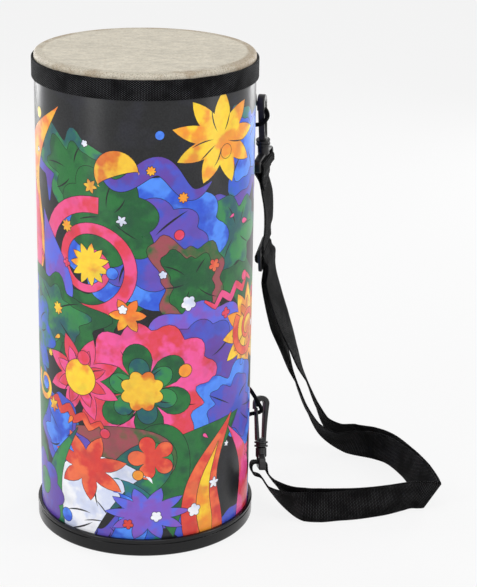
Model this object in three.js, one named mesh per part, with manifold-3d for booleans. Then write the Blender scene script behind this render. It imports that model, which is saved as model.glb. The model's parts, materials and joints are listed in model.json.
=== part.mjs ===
// A small tube conga with its carrying strap, in millimetres, +Z up.
// The origin is the centre of the playing face, so the drum stands below it.
// +X is the side that carries the strap.

import * as THREE from 'three';
import { mergeVertices } from 'three/addons/utils/BufferGeometryUtils.js';
import Module from 'manifold-3d';

const wasm = await Module();
wasm.setup();

const mm = 1;
const degree = Math.PI / 180;

// General clearances
const seatGap = 0.3 * mm;
const cutOverrun = 2 * mm;

// Drum
const drumHeight = 346 * mm;
const drumRadius = 76.2 * mm;
const wallThickness = 3.5 * mm;
const wrapThickness = 0.4 * mm;
const ringSegments = 80;

// Drumhead
const filmThickness = 0.4 * mm;
const collarRadius = 2.6 * mm;
const skirtDepth = 10.5 * mm;

// Band round the head
const bandDrop = 3.8 * mm;
const bandHeight = 13.7 * mm;
const bandThickness = 1.5 * mm;
const bandEdgeRound = 0.6 * mm;
const bandButtGap = 0.5 * mm;

// Rim round the foot
const rimHeight = 12.5 * mm;
const rimFloor = 2.5 * mm;
const rimLegThickness = 2.5 * mm;
const rimLipHeight = 2.5 * mm;
const rimLipStep = 0.2 * mm;
const rimGrooveHeight = 1 * mm;
const rimGrooveDepth = 0.8 * mm;
const rimEdgeRound = 1.1 * mm;
const rimInnerLegHeight = 9 * mm;
const rimInnerLegThickness = 2 * mm;

// Cord anchors in the shell
const cordDiameter = 3 * mm;
const cordSides = 8;
const knotRadius = 3.9 * mm;
const anchorSpacing = 22 * mm;
const anchorAngle = 12 * degree;
const lowerAnchorHeight = 78 * mm;
const upperAnchorDrop = 46 * mm;

// Webbing
const webWidth = 25 * mm;
const webThickness = 1.3 * mm;
const sewnLength = 15 * mm;
const webStep = 5 * mm;

// Swivel base
const barThickness = 5 * mm;
const barHeight = 4 * mm;
const slotHeight = 4.4 * mm;
const sideRailWidth = 2.6 * mm;
const shoulderHeight = 2.6 * mm;
const barrelRadius = 4.1 * mm;
const barrelHeight = 4.9 * mm;
const frameEdgeRound = 0.7 * mm;
const boreRadius = 2 * mm;
const counterboreRadius = 2.8 * mm;
const counterboreDepth = 3 * mm;

// Snap hook
const collarHeight = 4 * mm;
const flangeRadius = 5.1 * mm;
const collarNeckRadius = 3.9 * mm;
const hookLength = 34 * mm;
const hookHeadRadius = 6 * mm;
const hookThroatRadius = 2.1 * mm;
const hookThickness = 5.4 * mm;
const hookEdgeRound = 0.6 * mm;
const noseLength = 4 * mm;
const noseLip = 0.8 * mm;
const gateThickness = 1.4 * mm;
const gateWidth = 4.4 * mm;
const gateLap = 1.5 * mm;
const heelRadius = 1.2 * mm;

// Strap slider
const sliderThickness = 2.4 * mm;
const sliderCentreBar = 2.4 * mm;
const sliderEndBar = 3.6 * mm;
const sliderSlot = 5.6 * mm;
const sliderRail = 2.6 * mm;
const sliderEdgeRound = 0.4 * mm;

// Where the hooks and the slider hang: how far their middles stand off the drum's wall, how far
// they lie to the back, and how far they hang below the cord holes
const lowerBarStandoff = 9.6 * mm;
const lowerBarAside = 0.4 * mm;
const lowerBarDrop = 45.1 * mm;
const lowerStemDirection = new THREE.Vector3(0, 0.338, 0.941);
const lowerBarDirection = new THREE.Vector3(0, 0.941, -0.338);
const lowerHeadTurn = 20 * degree;
const upperBarStandoff = 8.2 * mm;
const upperBarAside = 26.5 * mm;
const upperBarDrop = 41 * mm;
const upperStemDirection = new THREE.Vector3(-0.055, -0.16, 0.985);
const upperBarDirection = new THREE.Vector3(0.37, 0.92, 0.15);
const upperHeadTurn = 97.5 * degree;
const sliderStandoff = 11.9 * mm;
const sliderAside = 55.7 * mm;
const sliderDrop = 116.6 * mm;
const sliderUpDirection = new THREE.Vector3(-0.06, -0.29, 0.955);
const sliderAcrossDirection = new THREE.Vector3(0.27, 0.9, 0.35);

const upperAnchorHeight = drumHeight - upperAnchorDrop;
const lowerBar = new THREE.Vector3(
  drumRadius + lowerBarStandoff, lowerBarAside, lowerAnchorHeight - lowerBarDrop);
const upperBar = new THREE.Vector3(
  drumRadius + upperBarStandoff, upperBarAside, upperAnchorHeight - upperBarDrop);
const sliderPlace = new THREE.Vector3(
  drumRadius + sliderStandoff, sliderAside, upperAnchorHeight - sliderDrop);

// Sizes that follow from those above
const shellOuter = drumRadius - wrapThickness - seatGap;
const shellInner = shellOuter - wallThickness;
const shellBottom = rimFloor + seatGap;
const shellTop = drumHeight - filmThickness - seatGap;
const bandTop = drumHeight - bandDrop;
const bandBottom = bandTop - bandHeight;
const skirtBottom = drumHeight - skirtDepth;
const wrapTop = skirtBottom - seatGap;
const cordRadius = cordDiameter / 2;
const layerPitch = webThickness + seatGap;
const slotWidth = webWidth + 2 * seatGap + 0.2 * webThickness;
const slotTop = barHeight / 2 + slotHeight;
const frameTop = slotTop + shoulderHeight;
const barrelTop = frameTop + barrelHeight;
const collarBottom = barrelTop + seatGap;
const collarTop = collarBottom + collarHeight;
const hookTop = collarTop + hookLength;
const hookCentre = hookTop - hookHeadRadius;
const noseTip = hookCentre - noseLength;
const stemRadius = boreRadius - seatGap;
const barbRadius = counterboreRadius - seatGap;
const gateAxisX = -flangeRadius + gateThickness + heelRadius / 2;
const gateAxisZ = collarTop + heelRadius + seatGap;

// Materials, with the colours seen on the object
function material(name, color, roughness, metalness = 0) {
  return new THREE.MeshStandardMaterial({ name, color, roughness, metalness });
}
const fibreboard = material('fibreboard', 0x6b5844, 0.85);
const printedFilm = material('printed film', 0x2b2d31, 0.45);
const skinFilm = material('skin film', 0xcfc8b8, 0.6);
const edgeTape = material('edge tape', 0x25272a, 0.8);
const mouldedRim = material('moulded rim', 0x2d2e2f, 0.5);
const blackCord = material('black cord', 0x17171a, 0.9);
const webbing = material('webbing', 0x141416, 0.85);
const mouldedPlastic = material('moulded plastic', 0x2f3033, 0.4);

// A closed geometry as a solid that can be joined and cut
function solidOf(geometry) {
  const bare = geometry.index ? geometry.toNonIndexed() : geometry.clone();
  bare.deleteAttribute('normal');
  bare.deleteAttribute('uv');
  const merged = mergeVertices(bare, 1e-4);
  return new wasm.Manifold(new wasm.Mesh({
    numProp: 3,
    vertProperties: new Float32Array(merged.attributes.position.array),
    triVerts: new Uint32Array(merged.index.array),
  }));
}

function geometryOf(solid) {
  const mesh = solid.getMesh();
  const geometry = new THREE.BufferGeometry();
  geometry.setAttribute('position', new THREE.BufferAttribute(new Float32Array(mesh.vertProperties), 3));
  geometry.setIndex(new THREE.BufferAttribute(new Uint32Array(mesh.triVerts), 1));
  geometry.computeVertexNormals();
  return geometry;
}

function piece(name, geometry, look) {
  const mesh = new THREE.Mesh(geometry, look);
  mesh.name = name;
  return mesh;
}

// A turned piece about +Z from [radius, height] points
function turned(points, segments = ringSegments) {
  const profile = points.map(([radius, height]) => new THREE.Vector2(radius, height));
  return new THREE.LatheGeometry(profile, segments).rotateX(Math.PI / 2);
}

// A turned ring, whose profile closes on itself
function turnedRing(points, segments = ringSegments) {
  return turned([...points, points[0]], segments);
}

// Points of a quarter turn from one angle to another
function arcPoints(centreX, centreY, radius, from, to, steps) {
  return Array.from({ length: steps + 1 }, (_, i) => {
    const angle = (from + ((to - from) * i) / steps) * degree;
    return [centreX + radius * Math.cos(angle), centreY + radius * Math.sin(angle)];
  });
}

// A hole or rod along the direction from one point to another
function rodBetween(from, to, radius, segments) {
  const length = from.distanceTo(to);
  const rod = new THREE.CylinderGeometry(radius, radius, length, segments);
  const turn = new THREE.Quaternion().setFromUnitVectors(
    new THREE.Vector3(0, 1, 0), to.clone().sub(from).normalize());
  rod.applyQuaternion(turn);
  const middle = from.clone().add(to).multiplyScalar(0.5);
  return rod.translate(middle.x, middle.y, middle.z);
}

// A plate with rounded edges from an outline, centred on its thickness
function plate(shape, thickness, edgeRound, curveSegments = 6) {
  const geometry = new THREE.ExtrudeGeometry(shape, {
    depth: thickness - 2 * edgeRound,
    bevelEnabled: true,
    bevelThickness: edgeRound,
    bevelSize: edgeRound,
    bevelOffset: -edgeRound,
    bevelSegments: 2,
    curveSegments,
  });
  return geometry.translate(0, 0, edgeRound - thickness / 2);
}

// Drum

function pointAtAnchor(radius, height) {
  return new THREE.Vector3(radius * Math.cos(anchorAngle), radius * Math.sin(anchorAngle), height);
}

const anchorHeights = [lowerAnchorHeight, upperAnchorHeight].flatMap(
  (height) => [height + anchorSpacing / 2, height - anchorSpacing / 2]);

function drillAnchors(solid) {
  for (const height of anchorHeights) {
    const inside = pointAtAnchor(shellInner - cutOverrun, height);
    const outside = pointAtAnchor(drumRadius + cutOverrun, height);
    solid = solid.subtract(solidOf(rodBetween(inside, outside, cordRadius + seatGap, 16)));
  }
  return solid;
}

function shell() {
  const edge = collarRadius - filmThickness - seatGap;
  const rounded = arcPoints(shellOuter - edge, shellTop - edge, edge, 0, 90, 4);
  const profile = [
    [shellInner, shellBottom],
    [shellOuter, shellBottom],
    ...rounded,
    [shellInner + edge / 2, shellTop],
    [shellInner, shellTop - edge / 2],
  ];
  return piece('shell', geometryOf(drillAnchors(solidOf(turnedRing(profile)))), fibreboard);
}

function printedWrap() {
  const profile = [
    [drumRadius - wrapThickness, shellBottom],
    [drumRadius, shellBottom],
    [drumRadius, wrapTop],
    [drumRadius - wrapThickness, wrapTop],
  ];
  return piece('printed_wrap', geometryOf(drillAnchors(solidOf(turnedRing(profile)))), printedFilm);
}

function drumhead() {
  const centre = drumRadius - collarRadius;
  const level = drumHeight - collarRadius;
  const outside = arcPoints(centre, level, collarRadius, 0, 90, 5);
  const inside = arcPoints(centre, level, collarRadius - filmThickness, 90, 0, 5);
  const profile = [
    [0, drumHeight - filmThickness],
    ...inside,
    [drumRadius - filmThickness, skirtBottom],
    [drumRadius, skirtBottom],
    ...outside,
    [0, drumHeight],
  ];
  return piece('drumhead', geometryOf(solidOf(turned(profile))), skinFilm);
}

function topBand() {
  const inner = drumRadius + seatGap;
  const outer = inner + bandThickness;
  const profile = [
    [inner, bandBottom],
    [outer - bandEdgeRound, bandBottom],
    [outer, bandBottom + bandEdgeRound],
    [outer, bandTop - bandEdgeRound],
    [outer - bandEdgeRound, bandTop],
    [inner, bandTop],
  ];
  const reach = bandThickness + 2 * cutOverrun;
  const slit = new THREE.BoxGeometry(bandButtGap, reach, bandHeight + cutOverrun);
  slit.translate(0, inner + bandThickness / 2, (bandTop + bandBottom) / 2);
  const ring = solidOf(turnedRing(profile)).subtract(solidOf(slit));
  return piece('top_band', geometryOf(ring), edgeTape);
}

function bottomRim() {
  const innerFace = drumRadius + seatGap;
  const outer = innerFace + rimLegThickness;
  const lip = outer + rimLipStep;
  const grooveTop = rimHeight - rimLipHeight;
  const grooveBottom = grooveTop - rimGrooveHeight;
  const leg = shellInner - seatGap;
  const legInner = leg - rimInnerLegThickness;
  const profile = [
    ...arcPoints(legInner + rimEdgeRound, rimEdgeRound, rimEdgeRound, 180, 270, 2),
    ...arcPoints(outer - rimEdgeRound, rimEdgeRound, rimEdgeRound, 270, 360, 3),
    [outer, grooveBottom],
    [outer - rimGrooveDepth, grooveBottom],
    [outer - rimGrooveDepth, grooveTop],
    [lip, grooveTop],
    [lip, rimHeight - rimLipHeight / 4],
    [lip - rimLipHeight / 4, rimHeight],
    [innerFace, rimHeight],
    [innerFace, rimFloor],
    [leg, rimFloor],
    [leg, rimInnerLegHeight],
    [legInner, rimInnerLegHeight],
  ];
  return piece('bottom_rim', geometryOf(solidOf(turnedRing(profile))), mouldedRim);
}

// Swivel bases and hooks are built about their stem, which is +Z.
// Zero is the middle of the bar that the webbing goes round, and the bar lies along Y.

const frameHalfWidth = slotWidth / 2 + sideRailWidth;

function frameOutline() {
  const shape = new THREE.Shape();
  const low = -barHeight / 2;
  const corner = barHeight / 2;
  const shoulderStart = slotTop;
  shape.moveTo(-frameHalfWidth + corner, low);
  shape.lineTo(frameHalfWidth - corner, low);
  shape.quadraticCurveTo(frameHalfWidth, low, frameHalfWidth, 0);
  shape.lineTo(frameHalfWidth, shoulderStart - corner);
  shape.quadraticCurveTo(frameHalfWidth, shoulderStart, frameHalfWidth - corner, shoulderStart + corner / 2);
  shape.quadraticCurveTo(barrelRadius * 1.6, frameTop - corner / 4, barrelRadius, frameTop);
  shape.lineTo(-barrelRadius, frameTop);
  shape.quadraticCurveTo(-barrelRadius * 1.6, frameTop - corner / 4,
    -frameHalfWidth + corner, shoulderStart + corner / 2);
  shape.quadraticCurveTo(-frameHalfWidth, shoulderStart, -frameHalfWidth, shoulderStart - corner);
  shape.lineTo(-frameHalfWidth, 0);
  shape.quadraticCurveTo(-frameHalfWidth, low, -frameHalfWidth + corner, low);
  return shape;
}

// The cut for the webbing through a plate that stands across X, from one height to another
function webSlot(throughThickness, from, to) {
  const box = new THREE.BoxGeometry(throughThickness + 2 * cutOverrun, slotWidth, to - from);
  return solidOf(box.translate(0, 0, (from + to) / 2));
}

function swivelBase(name) {
  const frame = plate(frameOutline(), barThickness, frameEdgeRound, 4).rotateX(Math.PI / 2).rotateZ(Math.PI / 2);
  const barrel = turned([
    [0, slotTop],
    [barrelRadius - frameEdgeRound, slotTop],
    [barrelRadius, slotTop + frameEdgeRound],
    [barrelRadius, barrelTop - frameEdgeRound],
    [barrelRadius - frameEdgeRound, barrelTop],
    [0, barrelTop],
  ], 20);
  const bore = turned([
    [0, slotTop - cutOverrun],
    [counterboreRadius, slotTop - cutOverrun],
    [counterboreRadius, slotTop + counterboreDepth],
    [boreRadius, slotTop + counterboreDepth + counterboreRadius - boreRadius],
    [boreRadius, barrelTop + cutOverrun],
    [0, barrelTop + cutOverrun],
  ], 16);
  const slot = webSlot(barThickness, barHeight / 2, slotTop);
  const body = solidOf(frame).subtract(slot).add(solidOf(barrel)).subtract(solidOf(bore));
  return piece(name, geometryOf(body), mouldedPlastic);
}

function hookOutline() {
  const shape = new THREE.Shape();
  const spineFoot = flangeRadius - 1.2 * hookThroatRadius + hookEdgeRound;
  shape.moveTo(-collarNeckRadius, collarTop - collarHeight / 4);
  shape.lineTo(spineFoot, collarTop - collarHeight / 4);
  shape.quadraticCurveTo(spineFoot + hookEdgeRound, (collarTop + hookCentre) / 2, hookHeadRadius, hookCentre);
  shape.absarc(0, hookCentre, hookHeadRadius, 0, Math.PI, false);
  shape.lineTo(-hookHeadRadius, noseTip);
  shape.lineTo(-hookThroatRadius, noseTip);
  shape.lineTo(-hookThroatRadius, hookCentre);
  shape.absarc(0, hookCentre, hookThroatRadius, Math.PI, 0, true);
  shape.quadraticCurveTo(hookThroatRadius - hookEdgeRound, (collarTop + hookCentre) / 2,
    spineFoot - hookThroatRadius, gateAxisZ + heelRadius);
  shape.lineTo(-collarNeckRadius, gateAxisZ - heelRadius / 4);
  shape.lineTo(-collarNeckRadius, collarTop - collarHeight / 4);
  return shape;
}

function hookStem() {
  const groove = collarHeight / 3;
  const barbTop = slotTop + counterboreDepth - seatGap;
  const barbBottom = slotTop + seatGap;
  return turned([
    [0, barbBottom],
    [stemRadius, barbBottom],
    [barbRadius, barbTop - counterboreDepth / 3],
    [barbRadius, barbTop],
    [stemRadius, barbTop],
    [stemRadius, collarBottom],
    [flangeRadius, collarBottom],
    [flangeRadius, collarBottom + groove],
    [collarNeckRadius, collarBottom + groove],
    [collarNeckRadius, collarTop - groove],
    [flangeRadius, collarTop - groove],
    [flangeRadius, collarTop],
    [0, collarTop],
  ], 20);
}

function hookBody(name) {
  const blade = plate(hookOutline(), hookThickness, hookEdgeRound, 10).rotateX(Math.PI / 2);
  const reach = hookThickness / 2 + cutOverrun;
  const cradle = rodBetween(
    new THREE.Vector3(gateAxisX, -reach, gateAxisZ),
    new THREE.Vector3(gateAxisX, reach, gateAxisZ), heelRadius + seatGap, 16);
  const notchFrom = -hookHeadRadius + noseLip;
  const notchHeight = gateLap + seatGap + cutOverrun;
  const notch = new THREE.BoxGeometry(-notchFrom, 2 * reach, notchHeight);
  notch.translate(notchFrom / 2, 0, noseTip - cutOverrun + notchHeight / 2);
  const body = solidOf(blade).subtract(solidOf(notch)).add(solidOf(hookStem())).subtract(solidOf(cradle));
  return piece(name, geometryOf(body), mouldedPlastic);
}

function hookGate(name) {
  const tip = noseTip + gateLap;
  const tipOuter = -hookHeadRadius + noseLip + seatGap;
  const shape = new THREE.Shape();
  shape.absarc(gateAxisX, gateAxisZ, heelRadius, Math.PI, 2 * Math.PI, false);
  shape.lineTo(tipOuter + gateThickness, tip - gateThickness / 2);
  shape.lineTo(tipOuter + gateThickness / 2, tip);
  shape.lineTo(tipOuter, tip);
  const leaf = plate(shape, gateWidth, hookEdgeRound / 2, 6).rotateX(Math.PI / 2);
  return piece(name, geometryOf(solidOf(leaf)), mouldedPlastic);
}

// A frame of axes: Z up the stem, Y along the bar, X across
function stemFrame(place, stemDirection, barDirection) {
  const up = stemDirection.clone().normalize();
  const across = barDirection.clone().cross(up).normalize();
  const along = up.clone().cross(across);
  return new THREE.Matrix4().makeBasis(across, along, up).setPosition(place);
}

const lowerFrame = stemFrame(lowerBar, lowerStemDirection, lowerBarDirection);
const upperFrame = stemFrame(upperBar, upperStemDirection, upperBarDirection);
const lowerHead = lowerFrame.clone().multiply(new THREE.Matrix4().makeRotationZ(lowerHeadTurn));
const upperHead = upperFrame.clone().multiply(new THREE.Matrix4().makeRotationZ(upperHeadTurn));
const sliderFrame = stemFrame(sliderPlace, sliderUpDirection, sliderAcrossDirection);

function placed(frame, ...meshes) {
  const group = new THREE.Group();
  frame.decompose(group.position, group.quaternion, group.scale);
  group.add(...meshes);
  return group;
}

// Slider: a three-bar buckle whose bars lie along Y, with Z up the strap and X away from the drum

const sliderHalfLength = sliderCentreBar / 2 + sliderSlot + sliderEndBar;

function slider() {
  const halfWidth = slotWidth / 2 + sliderRail;
  const corner = sliderEndBar;
  const shape = new THREE.Shape();
  shape.moveTo(-halfWidth + corner, -sliderHalfLength);
  shape.lineTo(halfWidth - corner, -sliderHalfLength);
  shape.quadraticCurveTo(halfWidth, -sliderHalfLength, halfWidth, -sliderHalfLength + corner);
  shape.lineTo(halfWidth, sliderHalfLength - corner);
  shape.quadraticCurveTo(halfWidth, sliderHalfLength, halfWidth - corner, sliderHalfLength);
  shape.lineTo(-halfWidth + corner, sliderHalfLength);
  shape.quadraticCurveTo(-halfWidth, sliderHalfLength, -halfWidth, sliderHalfLength - corner);
  shape.lineTo(-halfWidth, -sliderHalfLength + corner);
  shape.quadraticCurveTo(-halfWidth, -sliderHalfLength, -halfWidth + corner, -sliderHalfLength);
  let frame = solidOf(plate(shape, sliderThickness, sliderEdgeRound, 4).rotateX(Math.PI / 2).rotateZ(Math.PI / 2));
  const near = sliderCentreBar / 2;
  frame = frame.subtract(webSlot(sliderThickness, near, near + sliderSlot));
  frame = frame.subtract(webSlot(sliderThickness, -near - sliderSlot, -near));
  return piece('slider', geometryOf(frame), mouldedPlastic);
}

// Cord loops, with a stopper knot at each end inside the shell

// Chosen points of each loop between its two holes, in its hook head's own axes
const lowerLoopRoute = [
  [-7.6, -3.4, 53.2], [-4.6, -4.9, 47.4], [-1.2, -3.2, 42.4], [-0.4, 0.4, 40.2], [-1.6, 3.9, 39.2], [-5.6, 5.6, 38.4],
];
const upperLoopRoute = [
  [-3.4, 4.6, 51.0], [-1.2, 4.5, 46.5], [-0.2, 0.8, 43.8], [-1.2, -3.0, 41.0], [-4.6, -4.5, 37.6], [-7.7, -1.6, 34.0],
];

function cordLoop(name, anchorHeight, route, head) {
  const upperHole = anchorHeight + anchorSpacing / 2;
  const lowerHole = anchorHeight - anchorSpacing / 2;
  const knotPlace = shellInner - seatGap - knotRadius;
  const outside = drumRadius + cordRadius;
  const free = route.map((point) => new THREE.Vector3(...point).multiplyScalar(mm).applyMatrix4(head));
  const points = [
    pointAtAnchor(knotPlace, upperHole),
    pointAtAnchor(shellInner - seatGap, upperHole),
    pointAtAnchor(shellOuter, upperHole),
    pointAtAnchor(outside, upperHole),
    ...free,
    pointAtAnchor(outside, lowerHole),
    pointAtAnchor(shellOuter, lowerHole),
    pointAtAnchor(shellInner - seatGap, lowerHole),
    pointAtAnchor(knotPlace, lowerHole),
  ];
  const path = new THREE.CatmullRomCurve3(points, false, 'centripetal');
  const section = new THREE.Shape(arcPoints(0, 0, cordRadius, 0, 360 - 360 / cordSides, cordSides - 1)
    .map(([x, y]) => new THREE.Vector2(x, y)));
  const tube = new THREE.ExtrudeGeometry(section, { steps: 44, bevelEnabled: false, extrudePath: path });
  let body = solidOf(tube);
  for (const height of [upperHole, lowerHole]) {
    const knot = new THREE.SphereGeometry(knotRadius, 12, 8).scale(0.9, 1, 1.1);
    const centre = pointAtAnchor(knotPlace, height);
    body = body.add(solidOf(knot.translate(centre.x, centre.y, centre.z)));
  }
  return piece(name, geometryOf(body), blackCord);
}

// Webbing: a ribbon through stations of a centre and a direction across its width

function ribbon(name, stations) {
  const centres = new THREE.CatmullRomCurve3(stations.map((station) => station.at), false, 'centripetal');
  const sections = [];
  stations.slice(0, -1).forEach((station, i) => {
    const next = stations[i + 1];
    const steps = Math.max(1, Math.round(station.at.distanceTo(next.at) / webStep));
    for (let k = 0; k < steps; k += 1) sections.push([i, k / steps]);
  });
  sections.push([stations.length - 2, 1]);
  const half = { wide: webWidth / 2, thick: webThickness / 2 };
  const positions = [];
  for (const [i, share] of sections) {
    const along = (i + share) / (stations.length - 1);
    const centre = centres.getPoint(along);
    const run = centres.getTangent(along);
    const across = stations[i].across.clone().lerp(stations[i + 1].across, share).normalize();
    const out = run.cross(across).normalize();
    for (const [a, b] of [[-1, -1], [1, -1], [1, 1], [-1, 1]]) {
      const corner = centre.clone().addScaledVector(across, a * half.wide).addScaledVector(out, b * half.thick);
      positions.push(corner.x, corner.y, corner.z);
    }
  }
  const index = [];
  for (let i = 0; i < sections.length - 1; i += 1) {
    for (let k = 0; k < 4; k += 1) {
      const a = 4 * i + k;
      const b = 4 * i + ((k + 1) % 4);
      index.push(a, b, b + 4, a, b + 4, a + 4);
    }
  }
  const last = 4 * (sections.length - 1);
  index.push(0, 3, 2, 0, 2, 1, last, last + 1, last + 2, last, last + 2, last + 3);
  const geometry = new THREE.BufferGeometry();
  geometry.setAttribute('position', new THREE.BufferAttribute(new Float32Array(positions), 3));
  geometry.setIndex(index);
  geometry.computeVertexNormals();
  return piece(name, geometry, webbing);
}

// A station given in a frame's own axes: across X, along the bar Y, up Z. Lean tips its direction
// across out of level, and then the station turns about the stem.
function stationIn(frame, x, z, y = 0, lean = 0, turn = 0) {
  const about = new THREE.Matrix4().makeRotationZ(turn);
  const across = new THREE.Vector3(0, Math.cos(lean), Math.sin(lean));
  const at = new THREE.Vector3(x, y, z).applyMatrix4(about).applyMatrix4(frame);
  return { at, across: across.transformDirection(about).transformDirection(frame) };
}

// Points round one corner of a bar, at a layer's distance from it
function roundCorner(frame, cornerX, cornerZ, layer, angles) {
  const reach = seatGap + webThickness / 2 + layer * layerPitch + 0.05 * webThickness;
  return angles.map((angle) => stationIn(frame,
    cornerX + reach * Math.cos(angle * degree), cornerZ + reach * Math.sin(angle * degree)));
}

// The webbing's route from the slider to the lower bar, chosen by hand. Each row holds the
// centre's distance off the drum's wall and to the back as shares of the webbing's width, its
// height, its direction across, and how far the inner length lies behind it, in layers.
// The height is a share of the slider's height while the strap falls.
const fallRouteShares = [
  [0.70, 2.45, 0.885, 0.33, 0.88, 0.33, 1.9],
  [0.92, 2.72, 0.769, 0.31, 0.88, 0.36, 3.1],
  [1.17, 2.96, 0.662, 0.28, 0.89, 0.35, 4.2],
  [1.43, 3.16, 0.565, 0.17, 0.94, 0.29, 4.4],
  [1.68, 3.32, 0.465, 0.06, 0.97, 0.23, 4.5],
  [1.91, 3.44, 0.389, -0.11, 0.98, 0.15, 4.8],
  [2.21, 3.57, 0.288, -0.18, 0.98, 0.10, 5.4],
  [2.54, 3.68, 0.195, -0.29, 0.96, -0.01, 5.1],
  [2.91, 3.79, 0.128, -0.47, 0.77, -0.43, 3.8],
];

// On the floor the height is a share of the webbing's width
const floorRouteShares = [
  [3.51, 3.86, 0.58, -0.19, 0.33, -0.92, 2.2],
  [4.27, 3.51, 0.53, 0.06, 0.12, -0.99, 1.9],
  [4.70, 3.06, 0.52, 0.07, 0.03, -1.00, 1.9],
  [5.12, 1.93, 0.52, -0.09, -0.01, -1.00, 1.9],
  [5.37, 0.82, 0.50, -0.37, -0.02, -0.93, 1.7],
  [5.50, -0.04, 0.46, -0.45, 0.14, -0.88, 1.6],
  [5.49, -0.30, 0.45, -0.45, 0.20, -0.87, 1.6],
  [5.27, -0.35, 0.47, -0.32, 0.22, -0.92, 1.5],
  [4.95, -0.38, 0.50, -0.16, 0.24, -0.96, 1.4],
  [4.64, -0.50, 0.50, -0.09, 0.20, -0.97, 1.4],
  [4.02, -0.76, 0.51, 0.00, 0.12, -0.99, 1.4],
  [3.19, -0.98, 0.51, 0.00, 0.06, -1.00, 1.4],
  [2.59, -1.10, 0.52, 0.03, 0.08, -1.00, 1.5],
  [2.11, -1.17, 0.52, 0.03, 0.05, -1.00, 1.6],
  [1.56, -1.10, 0.51, 0.08, 0.10, -0.99, 2.1],
  [1.12, -0.65, 0.46, 0.18, 0.45, -0.87, 3.1],
  [0.66, -0.39, 0.70, 0.20, 0.77, -0.61, 4.1],
];

// The single run between the sewn fold and the slider: the share of the way to the slider's
// middle, how far it bows out of that line as a share of the webbing's width, and its direction
// across
const runRouteShares = [
  [0.43, 0.13, 0, 0.27, 0.88, 0.38],
  [0.74, 0.12, 0, 0.29, 0.88, 0.37],
];

function runStation([share, bowOut, bowAside, acrossX, acrossY, acrossZ]) {
  const bow = new THREE.Vector3(bowOut * webWidth, bowAside * webWidth, 0);
  return {
    at: upperBar.clone().lerp(sliderPlace, share).add(bow),
    across: new THREE.Vector3(acrossX, acrossY, acrossZ).normalize(),
  };
}

function routeStation([standoff, aside, height, acrossX, acrossY, acrossZ, layers], heightUnit) {
  return {
    at: new THREE.Vector3(drumRadius + standoff * webWidth, aside * webWidth, height * heightUnit),
    across: new THREE.Vector3(acrossX, acrossY, acrossZ).normalize(),
    gap: layers * layerPitch,
  };
}

const loopRoute = [
  ...fallRouteShares.map((shares) => routeStation(shares, sliderPlace.z)),
  ...floorRouteShares.map((shares) => routeStation(shares, webWidth)),
];

// Stations set back from a run of stations, towards the inside of the loop
function setBack(stations) {
  const path = new THREE.CatmullRomCurve3(stations.map((station) => station.at), false, 'centripetal');
  return stations.map((station, i) => {
    const run = path.getTangent(i / (stations.length - 1));
    const out = run.cross(station.across).normalize();
    return { at: station.at.clone().addScaledVector(out, -station.gap), across: station.across.clone() };
  });
}

const barHalf = { x: barThickness / 2, z: barHeight / 2 };
const sliderHalf = { x: sliderThickness / 2, z: sliderCentreBar / 2 };
const endBarEdge = sliderHalf.z + sliderSlot;

// The strap's upper length: tail, fold round the upper bar, single run, and half way through the slider
function strapUpper() {
  const legs = layerPitch / 2 + 0.05 * webThickness;
  const sewnStart = 4.5 * barHalf.z;
  const drift = webWidth / 5;
  const lean = 12 * degree;
  const turn = 9 * degree;
  const stations = [
    stationIn(upperFrame, legs, -sewnStart - sewnLength / 2, drift, lean, turn),
    stationIn(upperFrame, legs, -sewnStart, drift / 3, lean / 2, turn / 2),
    ...roundCorner(upperFrame, barHalf.x, -barHalf.z, 0, [-25, 0]),
    ...roundCorner(upperFrame, barHalf.x, barHalf.z, 0, [0, 45, 90]),
    ...roundCorner(upperFrame, -barHalf.x, barHalf.z, 0, [90, 135, 180]),
    ...roundCorner(upperFrame, -barHalf.x, -barHalf.z, 0, [180, 205]),
    stationIn(upperFrame, -legs, -sewnStart, drift / 3, lean / 2, turn / 2),
    stationIn(upperFrame, -legs, -sewnStart - sewnLength / 2, drift, lean, turn),
    ...runRouteShares.map(runStation),
    stationIn(sliderFrame, sliderHalf.x + layerPitch / 2 + seatGap, sliderHalfLength + 1.4 * sliderEndBar),
    ...roundCorner(sliderFrame, sliderHalf.x, endBarEdge, 0, [0, -35, -75]),
    ...roundCorner(sliderFrame, -sliderHalf.x, sliderHalf.z, 1, [95, 120, 150, 180]),
    stationIn(sliderFrame, -sliderHalf.x - 1.5 * layerPitch - seatGap / 2, seatGap / 2),
  ];
  return ribbon('strap_upper', stations);
}

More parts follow.
